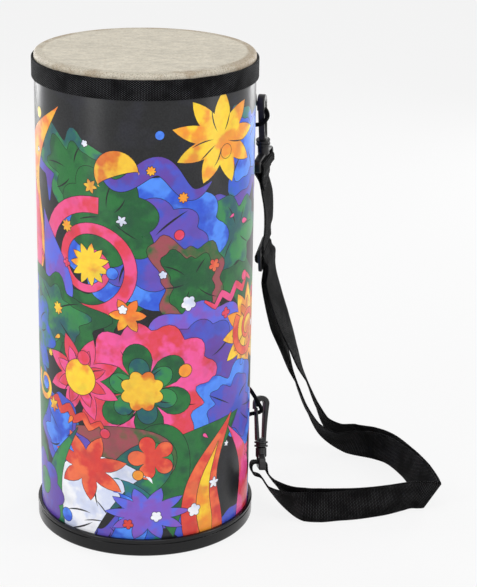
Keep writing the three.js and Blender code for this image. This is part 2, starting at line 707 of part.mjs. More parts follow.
// The strap's loop: through the slider, down the inner length, round the lower bar, and back up
// the outer length to be sewn round the slider's middle bar
function strapLoop() {
  const lead = {
    ...stationIn(sliderFrame, sliderHalf.x + 2.5 * layerPitch, -sliderHalfLength - sliderEndBar / 3),
    gap: 2 * layerPitch,
  };
  const outer = [lead, ...loopRoute];
  const inner = setBack(outer);
  const tail = setBack([
    { ...lead, gap: layerPitch },
    { ...outer[1], gap: layerPitch },
  ]);
  const stations = [
    stationIn(sliderFrame, -sliderHalf.x - 1.5 * layerPitch - seatGap / 2, -seatGap / 2),
    ...roundCorner(sliderFrame, -sliderHalf.x, -sliderHalf.z, 1, [180, 210, 240, 265]),
    ...roundCorner(sliderFrame, sliderHalf.x, -endBarEdge, 0, [75, 35, 0]),
    ...inner,
    stationIn(lowerFrame, 1.75 * barHalf.x, -2.2 * barHalf.z),
    ...roundCorner(lowerFrame, barHalf.x, barHalf.z, 0, [0, 45, 80]),
    ...roundCorner(lowerFrame, -barHalf.x, barHalf.z, 0, [100]),
    stationIn(lowerFrame, -2.5 * barHalf.x, 1.35 * barHalf.z),
    stationIn(lowerFrame, -3.05 * barHalf.x, -0.1 * barHalf.z),
    stationIn(lowerFrame, -2.3 * barHalf.x, -2.7 * barHalf.z),
    stationIn(lowerFrame, -0.3 * barHalf.x, -3.8 * barHalf.z, 0.3 * barHalf.z),
    ...outer.reverse(),
    ...roundCorner(sliderFrame, sliderHalf.x, -endBarEdge, 2, [5, 35, 55]),
    ...roundCorner(sliderFrame, sliderHalf.x + webThickness / 3, -sliderHalf.z, 0, [-10]),
    ...roundCorner(sliderFrame, sliderHalf.x, sliderHalf.z, 0, [0, 45, 90]),
    ...roundCorner(sliderFrame, -sliderHalf.x, sliderHalf.z, 0, [90, 135, 180]),
    ...roundCorner(sliderFrame, -sliderHalf.x, -sliderHalf.z, 0, [180, 225, 270]),
    ...roundCorner(sliderFrame, sliderHalf.x, -endBarEdge, 1, [60, 30, 2]),
    ...tail,
  ];
  return ribbon('strap_loop', stations);
}

const drum = new THREE.Group();
drum.position.z = -drumHeight;
drum.add(
  shell(),
  printedWrap(),
  drumhead(),
  topBand(),
  bottomRim(),
  cordLoop('upper_cord_loop', upperAnchorHeight, upperLoopRoute, upperHead),
  cordLoop('lower_cord_loop', lowerAnchorHeight, lowerLoopRoute, lowerHead),
  placed(upperFrame, swivelBase('upper_swivel_base')),
  placed(upperHead, hookBody('upper_hook'), hookGate('upper_hook_gate')),
  placed(lowerFrame, swivelBase('lower_swivel_base')),
  placed(lowerHead, hookBody('lower_hook'), hookGate('lower_hook_gate')),
  placed(sliderFrame, slider()),
  strapUpper(),
  strapLoop(),
);

const conga = new THREE.Group();
conga.name = 'conga';
conga.add(drum);

export default conga;
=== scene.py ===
"""The looks of a small tube conga with its carrying strap, in metres, +Z up.

The origin is the centre of the playing face. +X is the side that carries the strap, and the
camera stands on the -Y side. Each operator makes one piece or one group of like pieces.
"""

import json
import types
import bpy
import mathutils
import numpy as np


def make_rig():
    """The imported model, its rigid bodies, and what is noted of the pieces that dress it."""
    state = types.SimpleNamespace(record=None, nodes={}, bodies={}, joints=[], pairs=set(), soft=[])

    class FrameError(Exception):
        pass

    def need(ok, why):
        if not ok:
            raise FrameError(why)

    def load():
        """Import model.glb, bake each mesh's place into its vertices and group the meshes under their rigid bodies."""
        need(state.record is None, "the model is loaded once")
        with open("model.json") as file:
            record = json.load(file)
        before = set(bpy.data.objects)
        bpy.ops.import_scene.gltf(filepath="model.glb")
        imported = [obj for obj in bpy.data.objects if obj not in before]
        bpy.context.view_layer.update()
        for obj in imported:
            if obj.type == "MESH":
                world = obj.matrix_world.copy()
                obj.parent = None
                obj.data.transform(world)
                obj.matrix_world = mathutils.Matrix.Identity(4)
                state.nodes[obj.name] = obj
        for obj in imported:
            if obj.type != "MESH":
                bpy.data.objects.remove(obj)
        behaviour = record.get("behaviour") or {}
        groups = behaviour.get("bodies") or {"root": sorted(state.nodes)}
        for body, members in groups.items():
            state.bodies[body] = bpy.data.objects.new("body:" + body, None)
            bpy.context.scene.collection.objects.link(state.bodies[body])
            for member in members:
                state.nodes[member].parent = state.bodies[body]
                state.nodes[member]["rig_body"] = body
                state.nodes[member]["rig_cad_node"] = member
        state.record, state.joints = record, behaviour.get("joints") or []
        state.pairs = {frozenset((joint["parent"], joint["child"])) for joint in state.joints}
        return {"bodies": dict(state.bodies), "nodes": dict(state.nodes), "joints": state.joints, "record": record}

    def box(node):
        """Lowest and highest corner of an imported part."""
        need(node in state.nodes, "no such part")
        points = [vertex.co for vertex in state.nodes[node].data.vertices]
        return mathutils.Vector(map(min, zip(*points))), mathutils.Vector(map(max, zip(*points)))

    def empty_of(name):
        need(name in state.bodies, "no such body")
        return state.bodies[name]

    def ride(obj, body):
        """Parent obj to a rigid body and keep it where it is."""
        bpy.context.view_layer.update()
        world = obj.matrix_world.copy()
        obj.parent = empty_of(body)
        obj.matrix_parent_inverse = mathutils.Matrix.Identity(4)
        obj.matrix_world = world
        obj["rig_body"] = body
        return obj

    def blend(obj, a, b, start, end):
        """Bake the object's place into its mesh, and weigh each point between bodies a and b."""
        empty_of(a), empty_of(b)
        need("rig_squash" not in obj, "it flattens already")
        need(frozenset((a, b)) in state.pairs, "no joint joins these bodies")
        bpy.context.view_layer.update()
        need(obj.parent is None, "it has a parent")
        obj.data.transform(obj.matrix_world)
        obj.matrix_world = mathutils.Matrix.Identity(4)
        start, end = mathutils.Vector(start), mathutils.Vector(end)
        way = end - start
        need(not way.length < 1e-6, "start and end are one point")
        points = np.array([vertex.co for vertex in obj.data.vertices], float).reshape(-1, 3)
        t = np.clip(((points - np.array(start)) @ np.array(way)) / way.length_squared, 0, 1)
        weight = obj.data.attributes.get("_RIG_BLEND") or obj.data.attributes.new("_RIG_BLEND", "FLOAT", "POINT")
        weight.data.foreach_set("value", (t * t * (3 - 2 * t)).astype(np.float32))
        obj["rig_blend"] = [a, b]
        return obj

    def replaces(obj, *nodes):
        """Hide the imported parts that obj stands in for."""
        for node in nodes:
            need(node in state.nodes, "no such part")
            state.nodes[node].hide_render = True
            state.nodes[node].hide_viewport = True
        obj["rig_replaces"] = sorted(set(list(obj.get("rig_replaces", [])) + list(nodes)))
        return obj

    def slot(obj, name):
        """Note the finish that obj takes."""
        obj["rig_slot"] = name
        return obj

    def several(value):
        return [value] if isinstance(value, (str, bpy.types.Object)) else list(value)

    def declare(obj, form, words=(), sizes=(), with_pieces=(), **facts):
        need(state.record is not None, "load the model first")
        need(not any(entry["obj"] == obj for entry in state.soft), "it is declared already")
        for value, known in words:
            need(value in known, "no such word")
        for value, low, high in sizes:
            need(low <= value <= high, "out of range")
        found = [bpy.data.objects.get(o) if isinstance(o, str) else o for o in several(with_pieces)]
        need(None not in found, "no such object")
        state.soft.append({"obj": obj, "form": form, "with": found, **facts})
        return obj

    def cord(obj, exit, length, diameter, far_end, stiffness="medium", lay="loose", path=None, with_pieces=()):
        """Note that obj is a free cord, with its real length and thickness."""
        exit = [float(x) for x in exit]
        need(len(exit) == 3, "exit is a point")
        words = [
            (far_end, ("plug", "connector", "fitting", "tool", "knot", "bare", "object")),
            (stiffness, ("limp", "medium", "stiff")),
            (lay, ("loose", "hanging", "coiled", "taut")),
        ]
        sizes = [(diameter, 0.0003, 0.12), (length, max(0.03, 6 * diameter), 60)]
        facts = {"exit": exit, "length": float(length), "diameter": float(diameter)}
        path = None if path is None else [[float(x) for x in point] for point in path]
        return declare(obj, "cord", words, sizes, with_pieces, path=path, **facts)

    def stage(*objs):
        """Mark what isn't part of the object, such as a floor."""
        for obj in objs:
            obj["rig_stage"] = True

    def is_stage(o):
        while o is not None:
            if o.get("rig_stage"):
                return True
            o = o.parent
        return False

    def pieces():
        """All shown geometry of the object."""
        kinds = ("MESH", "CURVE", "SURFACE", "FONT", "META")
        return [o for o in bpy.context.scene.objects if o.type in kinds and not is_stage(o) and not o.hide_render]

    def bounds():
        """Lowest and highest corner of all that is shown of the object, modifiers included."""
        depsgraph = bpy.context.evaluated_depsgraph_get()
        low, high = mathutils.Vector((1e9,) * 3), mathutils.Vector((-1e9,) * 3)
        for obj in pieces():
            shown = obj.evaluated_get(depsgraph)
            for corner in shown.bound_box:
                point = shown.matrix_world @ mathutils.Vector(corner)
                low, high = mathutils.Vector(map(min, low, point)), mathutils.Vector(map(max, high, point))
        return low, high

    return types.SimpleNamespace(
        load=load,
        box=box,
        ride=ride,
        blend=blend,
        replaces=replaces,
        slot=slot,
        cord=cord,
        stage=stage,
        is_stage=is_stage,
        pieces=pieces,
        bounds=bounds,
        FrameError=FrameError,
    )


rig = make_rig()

bl_info = {
    "name": "Tube conga",
    "version": (1, 0, 0),
    "blender": (4, 5, 0),
    "location": "View3D > Sidebar > Conga",
    "description": "Builds the looks of a small tube conga around its packed frame",
    "category": "Add Mesh",
}

import json
import math

import bmesh
import bpy
import numpy as np
from mathutils import Matrix, Vector
from mathutils.geometry import delaunay_2d_cdt

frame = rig.load()
CAD_BOX = [list(corner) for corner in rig.bounds()]
MM = 0.001
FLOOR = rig.box("bottom_rim")[0].z


# Sizes and colours that a user would change


def length(name, description, default):
    """A length property, in metres."""
    return bpy.props.FloatProperty(
        name=name, description=description, default=default, min=0.0, unit="LENGTH", precision=4)


def colour(name, description, default):
    """A linear colour property."""
    return bpy.props.FloatVectorProperty(
        name=name, description=description, default=default, size=3, min=0.0, max=1.0, subtype="COLOR")


class CongaSizes(bpy.types.PropertyGroup):
    """Sizes of the drum and its strap."""

    drum_radius: length("Drum radius", "Outside of the painted wrap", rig.box("printed_wrap")[1].x)
    wrap_thickness: length("Wrap thickness", "Paper wrap", 0.4 * MM)
    wall_thickness: length("Wall thickness", "Fibre tube", 3.5 * MM)
    seat_gap: length("Seat gap", "Clearance between neighbouring pieces", 0.3 * MM)
    film_thickness: length("Film thickness", "Drumhead film", 0.4 * MM)
    collar_radius: length("Collar radius", "Rounding at the head's edge", 2.6 * MM)
    skirt_depth: length("Skirt depth", "How far the head comes down", 10.5 * MM)
    band_drop: length("Band drop", "From the playing face to the band's top", 3.8 * MM)
    band_height: length("Band height", "Woven band", 13.7 * MM)
    band_thickness: length("Band thickness", "Woven band", 1.5 * MM)
    rim_height: length("Rim height", "Moulded rim at the foot", 12.5 * MM)
    rim_wall: length("Rim wall", "Outer leg of the rim", 2.5 * MM)
    cord_diameter: length("Cord diameter", "Braided cord", 3.0 * MM)
    web_width: length("Webbing width", "Strap", 25.0 * MM)
    web_thickness: length("Webbing thickness", "Strap", 1.3 * MM)
    thread_diameter: length("Thread diameter", "Stitching", 0.55 * MM)


class CongaColours(bpy.types.PropertyGroup):
    """Linear colours of the finishes."""

    skin: colour("Skin", "Drumhead film", (0.585, 0.543, 0.450))
    skin_shade: colour("Skin shade", "Darker flecks of the film", (0.34, 0.26, 0.17))
    ground: colour("Ground", "Black ground of the wrap", (0.0055, 0.0058, 0.0070))
    outline: colour("Outline", "Thin line round each painted form", (0.004, 0.004, 0.006))
    tape: colour("Tape", "Woven band", (0.0012, 0.0012, 0.0015))
    # The band's painted highlight: the colour that its raised threads take where light catches them
    tape_highlight: colour("Tape light", "Raised threads of the band", (0.160, 0.163, 0.174))
    rim: colour("Rim", "Moulded rim", (0.0035, 0.0035, 0.0040))
    plastic: colour("Plastic", "Hooks and slider", (0.0095, 0.0095, 0.010))
    webbing: colour("Webbing", "Strap", (0.0009, 0.0009, 0.0010))
    # The strap's painted highlight: the colour that its raised threads take where light catches them
    webbing_highlight: colour("Webbing light", "Raised threads of the strap", (0.135, 0.135, 0.140))
    cord: colour("Cord", "Braided cord", (0.004, 0.004, 0.0045))
    fibre: colour("Fibre", "Inside of the tube", (0.23, 0.15, 0.09))
    floor: colour("Floor", "Floor and backdrop", (0.947, 0.947, 0.947))


def sizes():
    """The sizes that the user has set."""
    return bpy.context.scene.conga_sizes


def colours():
    """The colours that the user has set."""
    return bpy.context.scene.conga_colours


# Shaders


class Wire:
    """A number in a shader. A sum on it adds Math nodes."""

    def __init__(self, finish, socket):
        self.finish = finish
        self.socket = socket

    def _math(self, operation, *values):
        """A Math node on these values."""
        return self.finish.number("ShaderNodeMath", {"operation": operation}, dict(enumerate(values)))

    def __add__(self, other):
        return self._math("ADD", self, other)

    __radd__ = __add__

    def __sub__(self, other):
        return self._math("SUBTRACT", self, other)

    def __rsub__(self, other):
        return self._math("SUBTRACT", other, self)

    def __mul__(self, other):
        return self._math("MULTIPLY", self, other)

    __rmul__ = __mul__

    def __truediv__(self, other):
        return self._math("DIVIDE", self, other)

    def __pow__(self, other):
        return self._math("POWER", self, other)

    def sine(self):
        """The sine of this number, in radians."""
        return self._math("SINE", self)

    def size(self):
        """This number without its sign."""
        return self._math("ABSOLUTE", self)

    def within(self, low, high):
        """This number's place between low and high, smoothly from 0 to 1."""
        return self.finish.number(
            "ShaderNodeMapRange", {"interpolation_type": "SMOOTHSTEP"},
            {0: self, 1: low, 2: high, 3: 0.0, 4: 1.0})


class Nodes:
    """A tree of shader nodes while it is being filled."""

    def __init__(self, tree):
        self.tree = tree

    def node(self, kind, settings=None, inputs=None):
        """Adds a node of a type, with its settings and the values or links of its sockets."""
        made = self.tree.nodes.new(kind)
        for key, value in (settings or {}).items():
            setattr(made, key, value)
        for key, value in (inputs or {}).items():
            self.join(made.inputs[key], value)
        return made

    def join(self, socket, value):
        """Sets a socket to a value, or links it."""
        if isinstance(value, Wire):
            value = value.socket
        if isinstance(value, bpy.types.NodeSocket):
            self.tree.links.new(value, socket)
        elif socket.type == "RGBA" and len(value) == 3:
            socket.default_value = (*value, 1.0)
        else:
            socket.default_value = value

    def number(self, kind, settings=None, inputs=None):
        """A node's first output as a number."""
        return Wire(self, self.node(kind, settings, inputs).outputs[0])


class Finish(Nodes):
    """A material while it is being made."""

    def __init__(self, name, roughness=0.5, **plain):
        self.material = bpy.data.materials.new(name)
        self.material.use_nodes = True
        super().__init__(self.material.node_tree)
        self.shader = self.tree.nodes["Principled BSDF"]
        self.shader.inputs["Roughness"].default_value = roughness
        for socket, value in plain.items():
            self.shader.inputs[socket.replace("_", " ")].default_value = value

    def place(self, scale=(1.0, 1.0, 1.0)):
        """Object coordinates times a scale."""
        spot = self.node("ShaderNodeTexCoord").outputs["Object"]
        return self.node("ShaderNodeMapping", {"vector_type": "POINT"}, {0: spot, "Scale": scale}).outputs[0]

    def along(self):
        """The two numbers of a piece's own map: across and along, in metres."""
        spot = self.node("ShaderNodeUVMap", {"uv_map": "weave"}).outputs[0]
        parts = self.node("ShaderNodeSeparateXYZ", None, {0: spot})
        return Wire(self, parts.outputs[0]), Wire(self, parts.outputs[1])

    def noise(self, scale, detail=3.0, stretch=(1.0, 1.0, 1.0), roughness=0.5):
        """Noise between 0 and 1 on Object coordinates, in cells per metre."""
        return self.number("ShaderNodeTexNoise", {"noise_dimensions": "3D"}, {
            "Vector": self.place(stretch), "Scale": scale, "Detail": detail, "Roughness": roughness})

    def mixed(self, share, first, second):
        """A colour part of the way from the first to the second."""
        mix = self.node("ShaderNodeMix", {"data_type": "RGBA"}, {0: share, 6: first, 7: second})
        return mix.outputs[2]

    def bump(self, height, depth):
        """Height in units of depth, in metres, as a normal."""
        return self.node(
            "ShaderNodeBump", None, {"Strength": 1.0, "Distance": depth, "Height": height}).outputs[0]

    def shade(self, **sockets):
        """Feeds the shader's sockets."""
        for name, value in sockets.items():
            self.join(self.shader.inputs[name.replace("_", " ")], value)
        return self.material


def painted_paper():
    """Coated paper with watercolour forms: two tints of each form run into each other."""
    finish = Finish("painted paper", roughness=0.30, Specular_IOR_Level=0.36)
    paint = finish.node("ShaderNodeAttribute", {"attribute_name": "paint"}).outputs["Color"]
    wash = finish.node("ShaderNodeAttribute", {"attribute_name": "wash"}).outputs["Color"]
    pools = finish.noise(52.0, 3.5).within(0.45, 0.57)
    blooms = finish.noise(190.0, 3.0).within(0.30, 0.70)
    blend = finish.mixed(pools * 0.80 + blooms * 0.20, paint, wash)
    darker = finish.noise(75.0, 2.0, roughness=0.4).within(0.50, 0.72)
    pooled = finish.mixed(darker * 0.16, blend, (0.03, 0.03, 0.06))
    grain = finish.noise(900.0, 2.0).within(0.25, 0.75)
    dulled = finish.mixed(grain * 0.04, pooled, (0.22, 0.22, 0.22))
    relief = finish.noise(380.0, 2.0)
    return finish.shade(
        Base_Color=dulled,
        Roughness=finish.noise(140.0, 3.0) * 0.10 + 0.25,
        Normal=finish.bump(relief, 0.02 * MM))


def skin_film():
    """Grey-cream film: leathery mottling, fine dark flecks, and brown patches on its collar."""
    tint = colours()
    finish = Finish("skin film", roughness=0.6, Specular_IOR_Level=0.25)
    veins = finish.noise(150.0, 7.0, (0.75, 1.25, 1.0), 0.68).within(0.36, 0.64)
    clouds = finish.noise(34.0, 3.0, (0.7, 1.3, 1.0)).within(0.32, 0.68)
    specks = finish.noise(560.0, 4.0, (0.9, 1.1, 0.8), 0.65).within(0.42, 0.66)
    crumbs = finish.noise(1300.0, 4.0, roughness=0.6).within(0.46, 0.70)
    spot = finish.node("ShaderNodeSeparateXYZ", None, {0: finish.place()})
    x, y = Wire(finish, spot.outputs[0]), Wire(finish, spot.outputs[1])
    edge = sizes().drum_radius
    turned = ((x * x + y * y) ** 0.5).within(edge - 7.5 * MM, edge - 5 * MM)
    pale = tuple(min(1.0, c * 1.16) for c in tint.skin)
    base = finish.mixed(veins * 0.62 + clouds * 0.30, pale, tuple(c * 0.80 for c in tint.skin))
    flecked = finish.mixed(specks * 0.30, base, tint.skin_shade)
    patches = finish.noise(19.0, 4.0, roughness=0.6).within(0.46, 0.56)
    brown = finish.mixed(patches * 0.62 + specks * 0.36, tint.skin, tint.skin_shade)
    collar = finish.mixed(crumbs * 0.75, brown, tuple(c * 0.45 for c in tint.skin_shade))
    grained = finish.mixed(turned * 0.97, flecked, collar)
    relief = veins * 0.5 + specks * 0.3 + crumbs * 0.2
    return finish.shade(
        Base_Color=grained,
        Roughness=specks * 0.15 + 0.52,
        Normal=finish.bump(relief, 0.07 * MM))


def woven(name, dark, light, pitch_across, pitch_along, roughness, slant=0.0, depth=0.16 * MM):
    """Plain weave: raised threads on a chequered grid, on the piece's own map."""
    finish = Finish(name, roughness=roughness, Specular_IOR_Level=0.03)
    across, along = finish.along()
    u = across / pitch_across
    v = along / pitch_along + u * slant
    wave = (u * math.pi).sine() * (v * math.pi).sine()
    raised = wave.within(0.42, 0.88)
    ribs = (u * math.tau).sine() * 0.25 + (v * math.tau).sine() * 0.25
    fuzz = finish.noise(2600.0, 2.0)
    wear = finish.noise(70.0, 3.0).within(0.36, 0.64)
    # Painted highlight: the raised threads take the light colour, dimmed in patches by the wear noise and varied by
    # the fuzz
    shade = finish.mixed(raised * (wear * 0.75 + 0.25) * (fuzz * 0.8 + 0.4), dark, light)
    height = wave.size() + ribs * 0.4 + fuzz * 0.3
    return finish.shade(
        Base_Color=shade,
        Roughness=fuzz * 0.15 + (roughness - 0.08),
        Normal=finish.bump(height, depth))


def edge_tape():
    """Woven band round the head, with rows of light raised threads."""
    tint = colours()
    return woven("edge tape", tint.tape, tint.tape_highlight, 0.62 * MM, 1.0 * MM, 0.60)


def strap_weave():
    """Strap webbing, with rows of short raised threads along it."""
    tint = colours()
    return woven("strap weave", tint.webbing, tint.webbing_highlight, 0.60 * MM, 1.15 * MM, 0.70, 0.0, 0.22 * MM)


def braided_cord():
    """Braided cord: strands cross on the piece's own map."""
    tint = colours()
    return woven("braided cord", tint.cord, tuple(c * 2.6 for c in tint.cord), 0.8 * MM, 0.8 * MM, 0.7, 1.0)


def sewing_thread():
    """Black thread with a slight sheen."""
    finish = Finish("sewing thread", roughness=0.5, Specular_IOR_Level=0.2)
    fuzz = finish.noise(2400.0, 2.0)
    tint = colours()
    shade = finish.mixed(fuzz, tint.webbing, tuple(c * 0.30 for c in tint.webbing_highlight))
    return finish.shade(Base_Color=shade, Roughness=fuzz * 0.2 + 0.4)


def moulded(name, tone, roughness, grain, gloss=0.35):
    """Moulded plastic: a fine spark-eroded grain, with patches that are a little worn."""
    finish = Finish(name, roughness=roughness, Specular_IOR_Level=gloss)
    wear = finish.noise(160.0, 4.0).within(0.40, 0.80)
    flow = finish.noise(40.0, 2.0, (1.0, 1.0, 0.4))
    shade = finish.mixed(wear * 0.5, tone, tuple(c * 1.7 for c in tone))
    relief = finish.noise(grain, 2.0) + flow * 0.3
    return finish.shade(
        Base_Color=shade,
        Roughness=wear * 0.12 + (roughness - 0.05),
        Normal=finish.bump(relief, 0.03 * MM))


def pressed_fibre():
    """Inside of the tube: brown board with spiral laps and flecks."""
    tint = colours()
    finish = Finish("pressed fibre", roughness=0.9)
    spot = finish.node("ShaderNodeSeparateXYZ", None, {0: finish.place()})
    turn = finish.number("ShaderNodeMath", {"operation": "ARCTAN2"}, {0: spot.outputs[1], 1: spot.outputs[0]})
    height = Wire(finish, spot.outputs[2])
    lap = finish.number(
        "ShaderNodeMath", {"operation": "FRACT"}, {0: height / 0.09 + turn / math.tau}).within(0.0, 0.02)
    flecks = finish.noise(520.0, 4.0, (1.0, 1.0, 0.35)).within(0.35, 0.75)
    board = finish.mixed(flecks, tint.fibre, tuple(c * 0.55 for c in tint.fibre))
    shade = finish.mixed(lap, tuple(c * 0.35 for c in tint.fibre), board)
    return finish.shade(Base_Color=shade, Normal=finish.bump(flecks + lap, 0.12 * MM))


# Meshes


def gaps_between(points):
    """The distance from each point to the next."""
    return np.linalg.norm(np.diff(points, axis=0), axis=1)


def travelled_along(points):
    """The distance along a line of points up to each of them."""
    return np.concatenate([[0.0], np.cumsum(gaps_between(points))])


def piece(name, points, faces, finish, slot, maps=None):
    """A smooth mesh object from its points, in millimetres, and its faces, with a map of its corners."""
    mesh = bpy.data.meshes.new(name)
    mesh.from_pydata((np.asarray(points, float) * MM).tolist(), [], faces)
    if maps is not None:
        layer = mesh.uv_layers.new(name="weave")
        layer.data.foreach_set("uv", np.asarray(maps, np.float32).ravel())
    mesh.shade_smooth()
    mesh.update()
    mesh.materials.append(finish)
    made = bpy.data.objects.new(name, mesh)
    bpy.context.scene.collection.objects.link(made)
    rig.slot(made, slot)
    return made


def quads(rows, columns):
    """Faces of a grid whose columns run round a closed section, with its corners' places."""
    i, k = np.meshgrid(np.arange(rows - 1), np.arange(columns), indexing="ij")
    i, k = i.ravel(), k.ravel()
    k2 = (k + 1) % columns
    faces = np.stack([i * columns + k, i * columns + k2, (i + 1) * columns + k2, (i + 1) * columns + k], 1)
    corners = np.stack([
        np.stack([i + down, k + right], 1) for down, right in ((0, 0), (0, 1), (1, 1), (1, 0))], 1)
    return faces, corners


def swept(name, rings, finish, slot, along, across, closed=False):
    """A tube of sections: rings is sections x points x 3. along is the distance of each section
    and across the distance round the section, both in millimetres. The ends are closed by fans."""
    rows, columns, _ = rings.shape
    points = rings.reshape(-1, 3)
    if closed:
        rings = np.concatenate([rings, rings[:1]])
    faces, corners = quads(rings.shape[0], columns)
    faces = faces % (rows * columns) if closed else faces
    lengths = np.append(across, across[-1] + across[1])
    maps = np.stack([lengths[corners[..., 1]], along[corners[..., 0]]], -1) * MM
    faces, maps = faces.tolist(), maps.reshape(-1, 2)
    if not closed:
        middles = rings[[0, -1]].mean(1)
        points = np.concatenate([points, middles])
        first, last = rows * columns, (rows - 1) * columns
        for k in range(columns):
            after = (k + 1) % columns
            faces.append([after, k, first])
            faces.append([last + k, last + after, first + 1])
        maps = np.concatenate([maps, np.zeros((6 * columns, 2))])
    return piece(name, points, faces, finish, slot, maps)


def revolved(name, profile, finish, slot, segments, bend=None):
    """A ring turned about Z. The profile is closed, counter-clockwise in (radius, height). bend
    changes the radius and height arrays at each angle."""
    profile = np.asarray(profile, float)
    angles = np.arange(segments) * math.tau / segments
    radius = np.broadcast_to(profile[:, 0], (segments, len(profile))).copy()
    height = np.broadcast_to(profile[:, 1], (segments, len(profile))).copy()
    if bend is not None:
        radius, height = bend(angles[:, None], radius, height)
    rings = np.stack([radius * np.cos(angles)[:, None], radius * np.sin(angles)[:, None], height], -1)
    along = np.arange(segments + 1) * math.tau / segments * profile[:, 0].max()
    return swept(name, rings, finish, slot, along, travelled_along(profile), closed=True)


def rounded(points, radii, steps=6):
    """A closed outline whose corners are rounded: each corner becomes a quadratic curve that
    starts and ends at its radius from the corner."""
    points = np.asarray(points, float)
    made = []
    for i, (corner, radius) in enumerate(zip(points, radii)):
        before, after = points[i - 1], points[(i + 1) % len(points)]
        one = corner + (before - corner) / np.linalg.norm(before - corner) * radius
        two = corner + (after - corner) / np.linalg.norm(after - corner) * radius
        t = np.linspace(0, 1, steps + 1)[:, None]
        made.extend((1 - t) ** 2 * one + 2 * t * (1 - t) * corner + t ** 2 * two)
    return np.array(made)


def through(stations, counts):
    """Points and directions on the centripetal curve through the stations. counts gives the
    steps between each two of them."""
    stations = np.asarray(stations, float)
    padded = np.concatenate([2 * stations[:1] - stations[1:2], stations, 2 * stations[-1:] - stations[-2:-1]])
    gaps = np.sqrt(gaps_between(padded[:, :3]))
    gaps = np.where(gaps < 1e-4, 1.0, gaps)
    index = np.repeat(np.arange(len(stations) - 1), counts)
    share = np.concatenate([np.arange(n) / n for n in counts])
    index, share = np.append(index, len(stations) - 2), np.append(share, 1.0)
    before, first, second, after = (padded[index + k] for k in range(4))
    d0, d1, d2 = (gaps[index + k][:, None] for k in range(3))
    run1 = ((first - before) / d0 - (second - before) / (d0 + d1) + (second - first) / d1) * d1
    run2 = ((second - first) / d1 - (after - first) / (d1 + d2) + (after - second) / d2) * d1
    t = share[:, None]
    c2, c3 = -3 * first + 3 * second - 2 * run1 - run2, 2 * first - 2 * second + run1 + run2
    points = first + t * run1 + t ** 2 * c2 + t ** 3 * c3
    runs = run1 + 2 * t * c2 + 3 * t ** 2 * c3
    return points, runs


def unit(vectors):
    """Vectors of length one."""
    return vectors / np.linalg.norm(vectors, axis=-1, keepdims=True)


def axes(place, up, bar, turn=0.0):
    """A frame as a place and three rows: across, along the bar, and up the stem. turn is about the
    stem, in degrees."""
    up = unit(np.array(up, float))
    across = unit(np.cross(bar, up))
    along = np.cross(up, across)
    c, s = math.cos(math.radians(turn)), math.sin(math.radians(turn))
    return np.array(place, float), np.array([c * across + s * along, -s * across + c * along, up])


def placed(frame_axes, points):
    """Points in a frame's own axes, as points in the drum's frame."""
    place, rows = frame_axes
    return place + np.asarray(points, float) @ rows


# The cords' holes in the drum, in millimetres: the height from the floor midway between a loop's
# two holes, and the distance between the two. The angle is from the +X side.
ANCHOR_HEIGHTS = {"lower": 78.0, "upper": 300.0}
ANCHOR_SPACING = 22.0
ANCHOR_ANGLE = math.radians(12)

# Where the hooks and the slider hang, in millimetres. Heights are from the playing face.
DRUM_HEIGHT = -FLOOR / MM
LOWER_PLACE = (85.8, 0.4, 32.9 - DRUM_HEIGHT)
UPPER_PLACE = (84.4, 26.5, 259.0 - DRUM_HEIGHT)
SLIDER_PLACE = (88.1, 55.7, 183.4 - DRUM_HEIGHT)

# The directions of each base's stem and bar. A hook's head is turned about its stem.
LOWER_RUNS = (0, 0.338, 0.941), (0, 0.941, -0.338)
UPPER_RUNS = (-0.055, -0.16, 0.985), (0.37, 0.92, 0.15)
SLIDER_RUNS = (-0.06, -0.29, 0.955), (0.27, 0.9, 0.35)
LOWER_AXES = axes(LOWER_PLACE, *LOWER_RUNS)
UPPER_AXES = axes(UPPER_PLACE, *UPPER_RUNS)
SLIDER_AXES = axes(SLIDER_PLACE, *SLIDER_RUNS)
LOWER_HEAD = axes(LOWER_PLACE, *LOWER_RUNS, 20)
UPPER_HEAD = axes(UPPER_PLACE, *UPPER_RUNS, 97.5)


# Painted forms on the wrap: closed outlines of radius about one, or bands along a line


def turn_of(count):
    """Angles round a form."""
    return np.arange(count) * math.tau / count


def polar(radius, angle):
    """Points at a radius and an angle."""
    return np.stack([radius * np.cos(angle), radius * np.sin(angle)], -1)


def scallop(lobes, depth, count=84):
    """Radius falls by depth at each of the lobes' cusps."""
    a = turn_of(count)
    return polar(1 - depth + depth * np.abs(np.sin(lobes * a / 2)), a)


def star(lobes, inner):
    """Radius goes from inner to one along a triangle wave."""
    a = turn_of(lobes * 8)
    teeth = np.abs(2 * ((lobes * a / math.tau) % 1.0) - 1)
    return polar(inner + (1 - inner) * teeth, a)


def petals(lobes, inner):
    """Radius swells like a rounded cosine at each petal."""
    a = turn_of(lobes * 12)
    return polar(inner + (1 - inner) * np.abs(np.cos(lobes * a / 2)) ** 0.6, a)


def splash(seed, lobes):
    """Radius is 0.8 plus three sine waves whose phases follow the seed."""
    a = turn_of(74)
    swing = 0.80 + 0.13 * np.sin(lobes * a + seed) + 0.10 * np.sin(3 * a + 2 * seed)
    return polar(swing + 0.06 * np.sin(11 * a + 5 * seed), a)


def disc(count=30):
    """A circle."""
    return polar(np.ones(count), turn_of(count))


def drop(sharp=1.6, count=44):
    """A teardrop: its half width is the sine of the angle times a power of the half angle's sine."""
    a = turn_of(count)
    return np.stack([np.cos(a), 0.62 * np.sin(a) * np.sin(a / 2) ** sharp], -1)


def crescent(bite):
    """A little more than half of a circle's arc outside, and a flatter arc back inside."""
    reach = 0.62
    a = np.linspace(-reach, reach, 24) * math.pi
    outer = polar(np.ones(24), a)
    inner = outer[::-1] * [bite, 1.0] + [(1 - bite) * math.cos(reach * math.pi), 0.0]
    return np.concatenate([outer, inner[1:-1]])


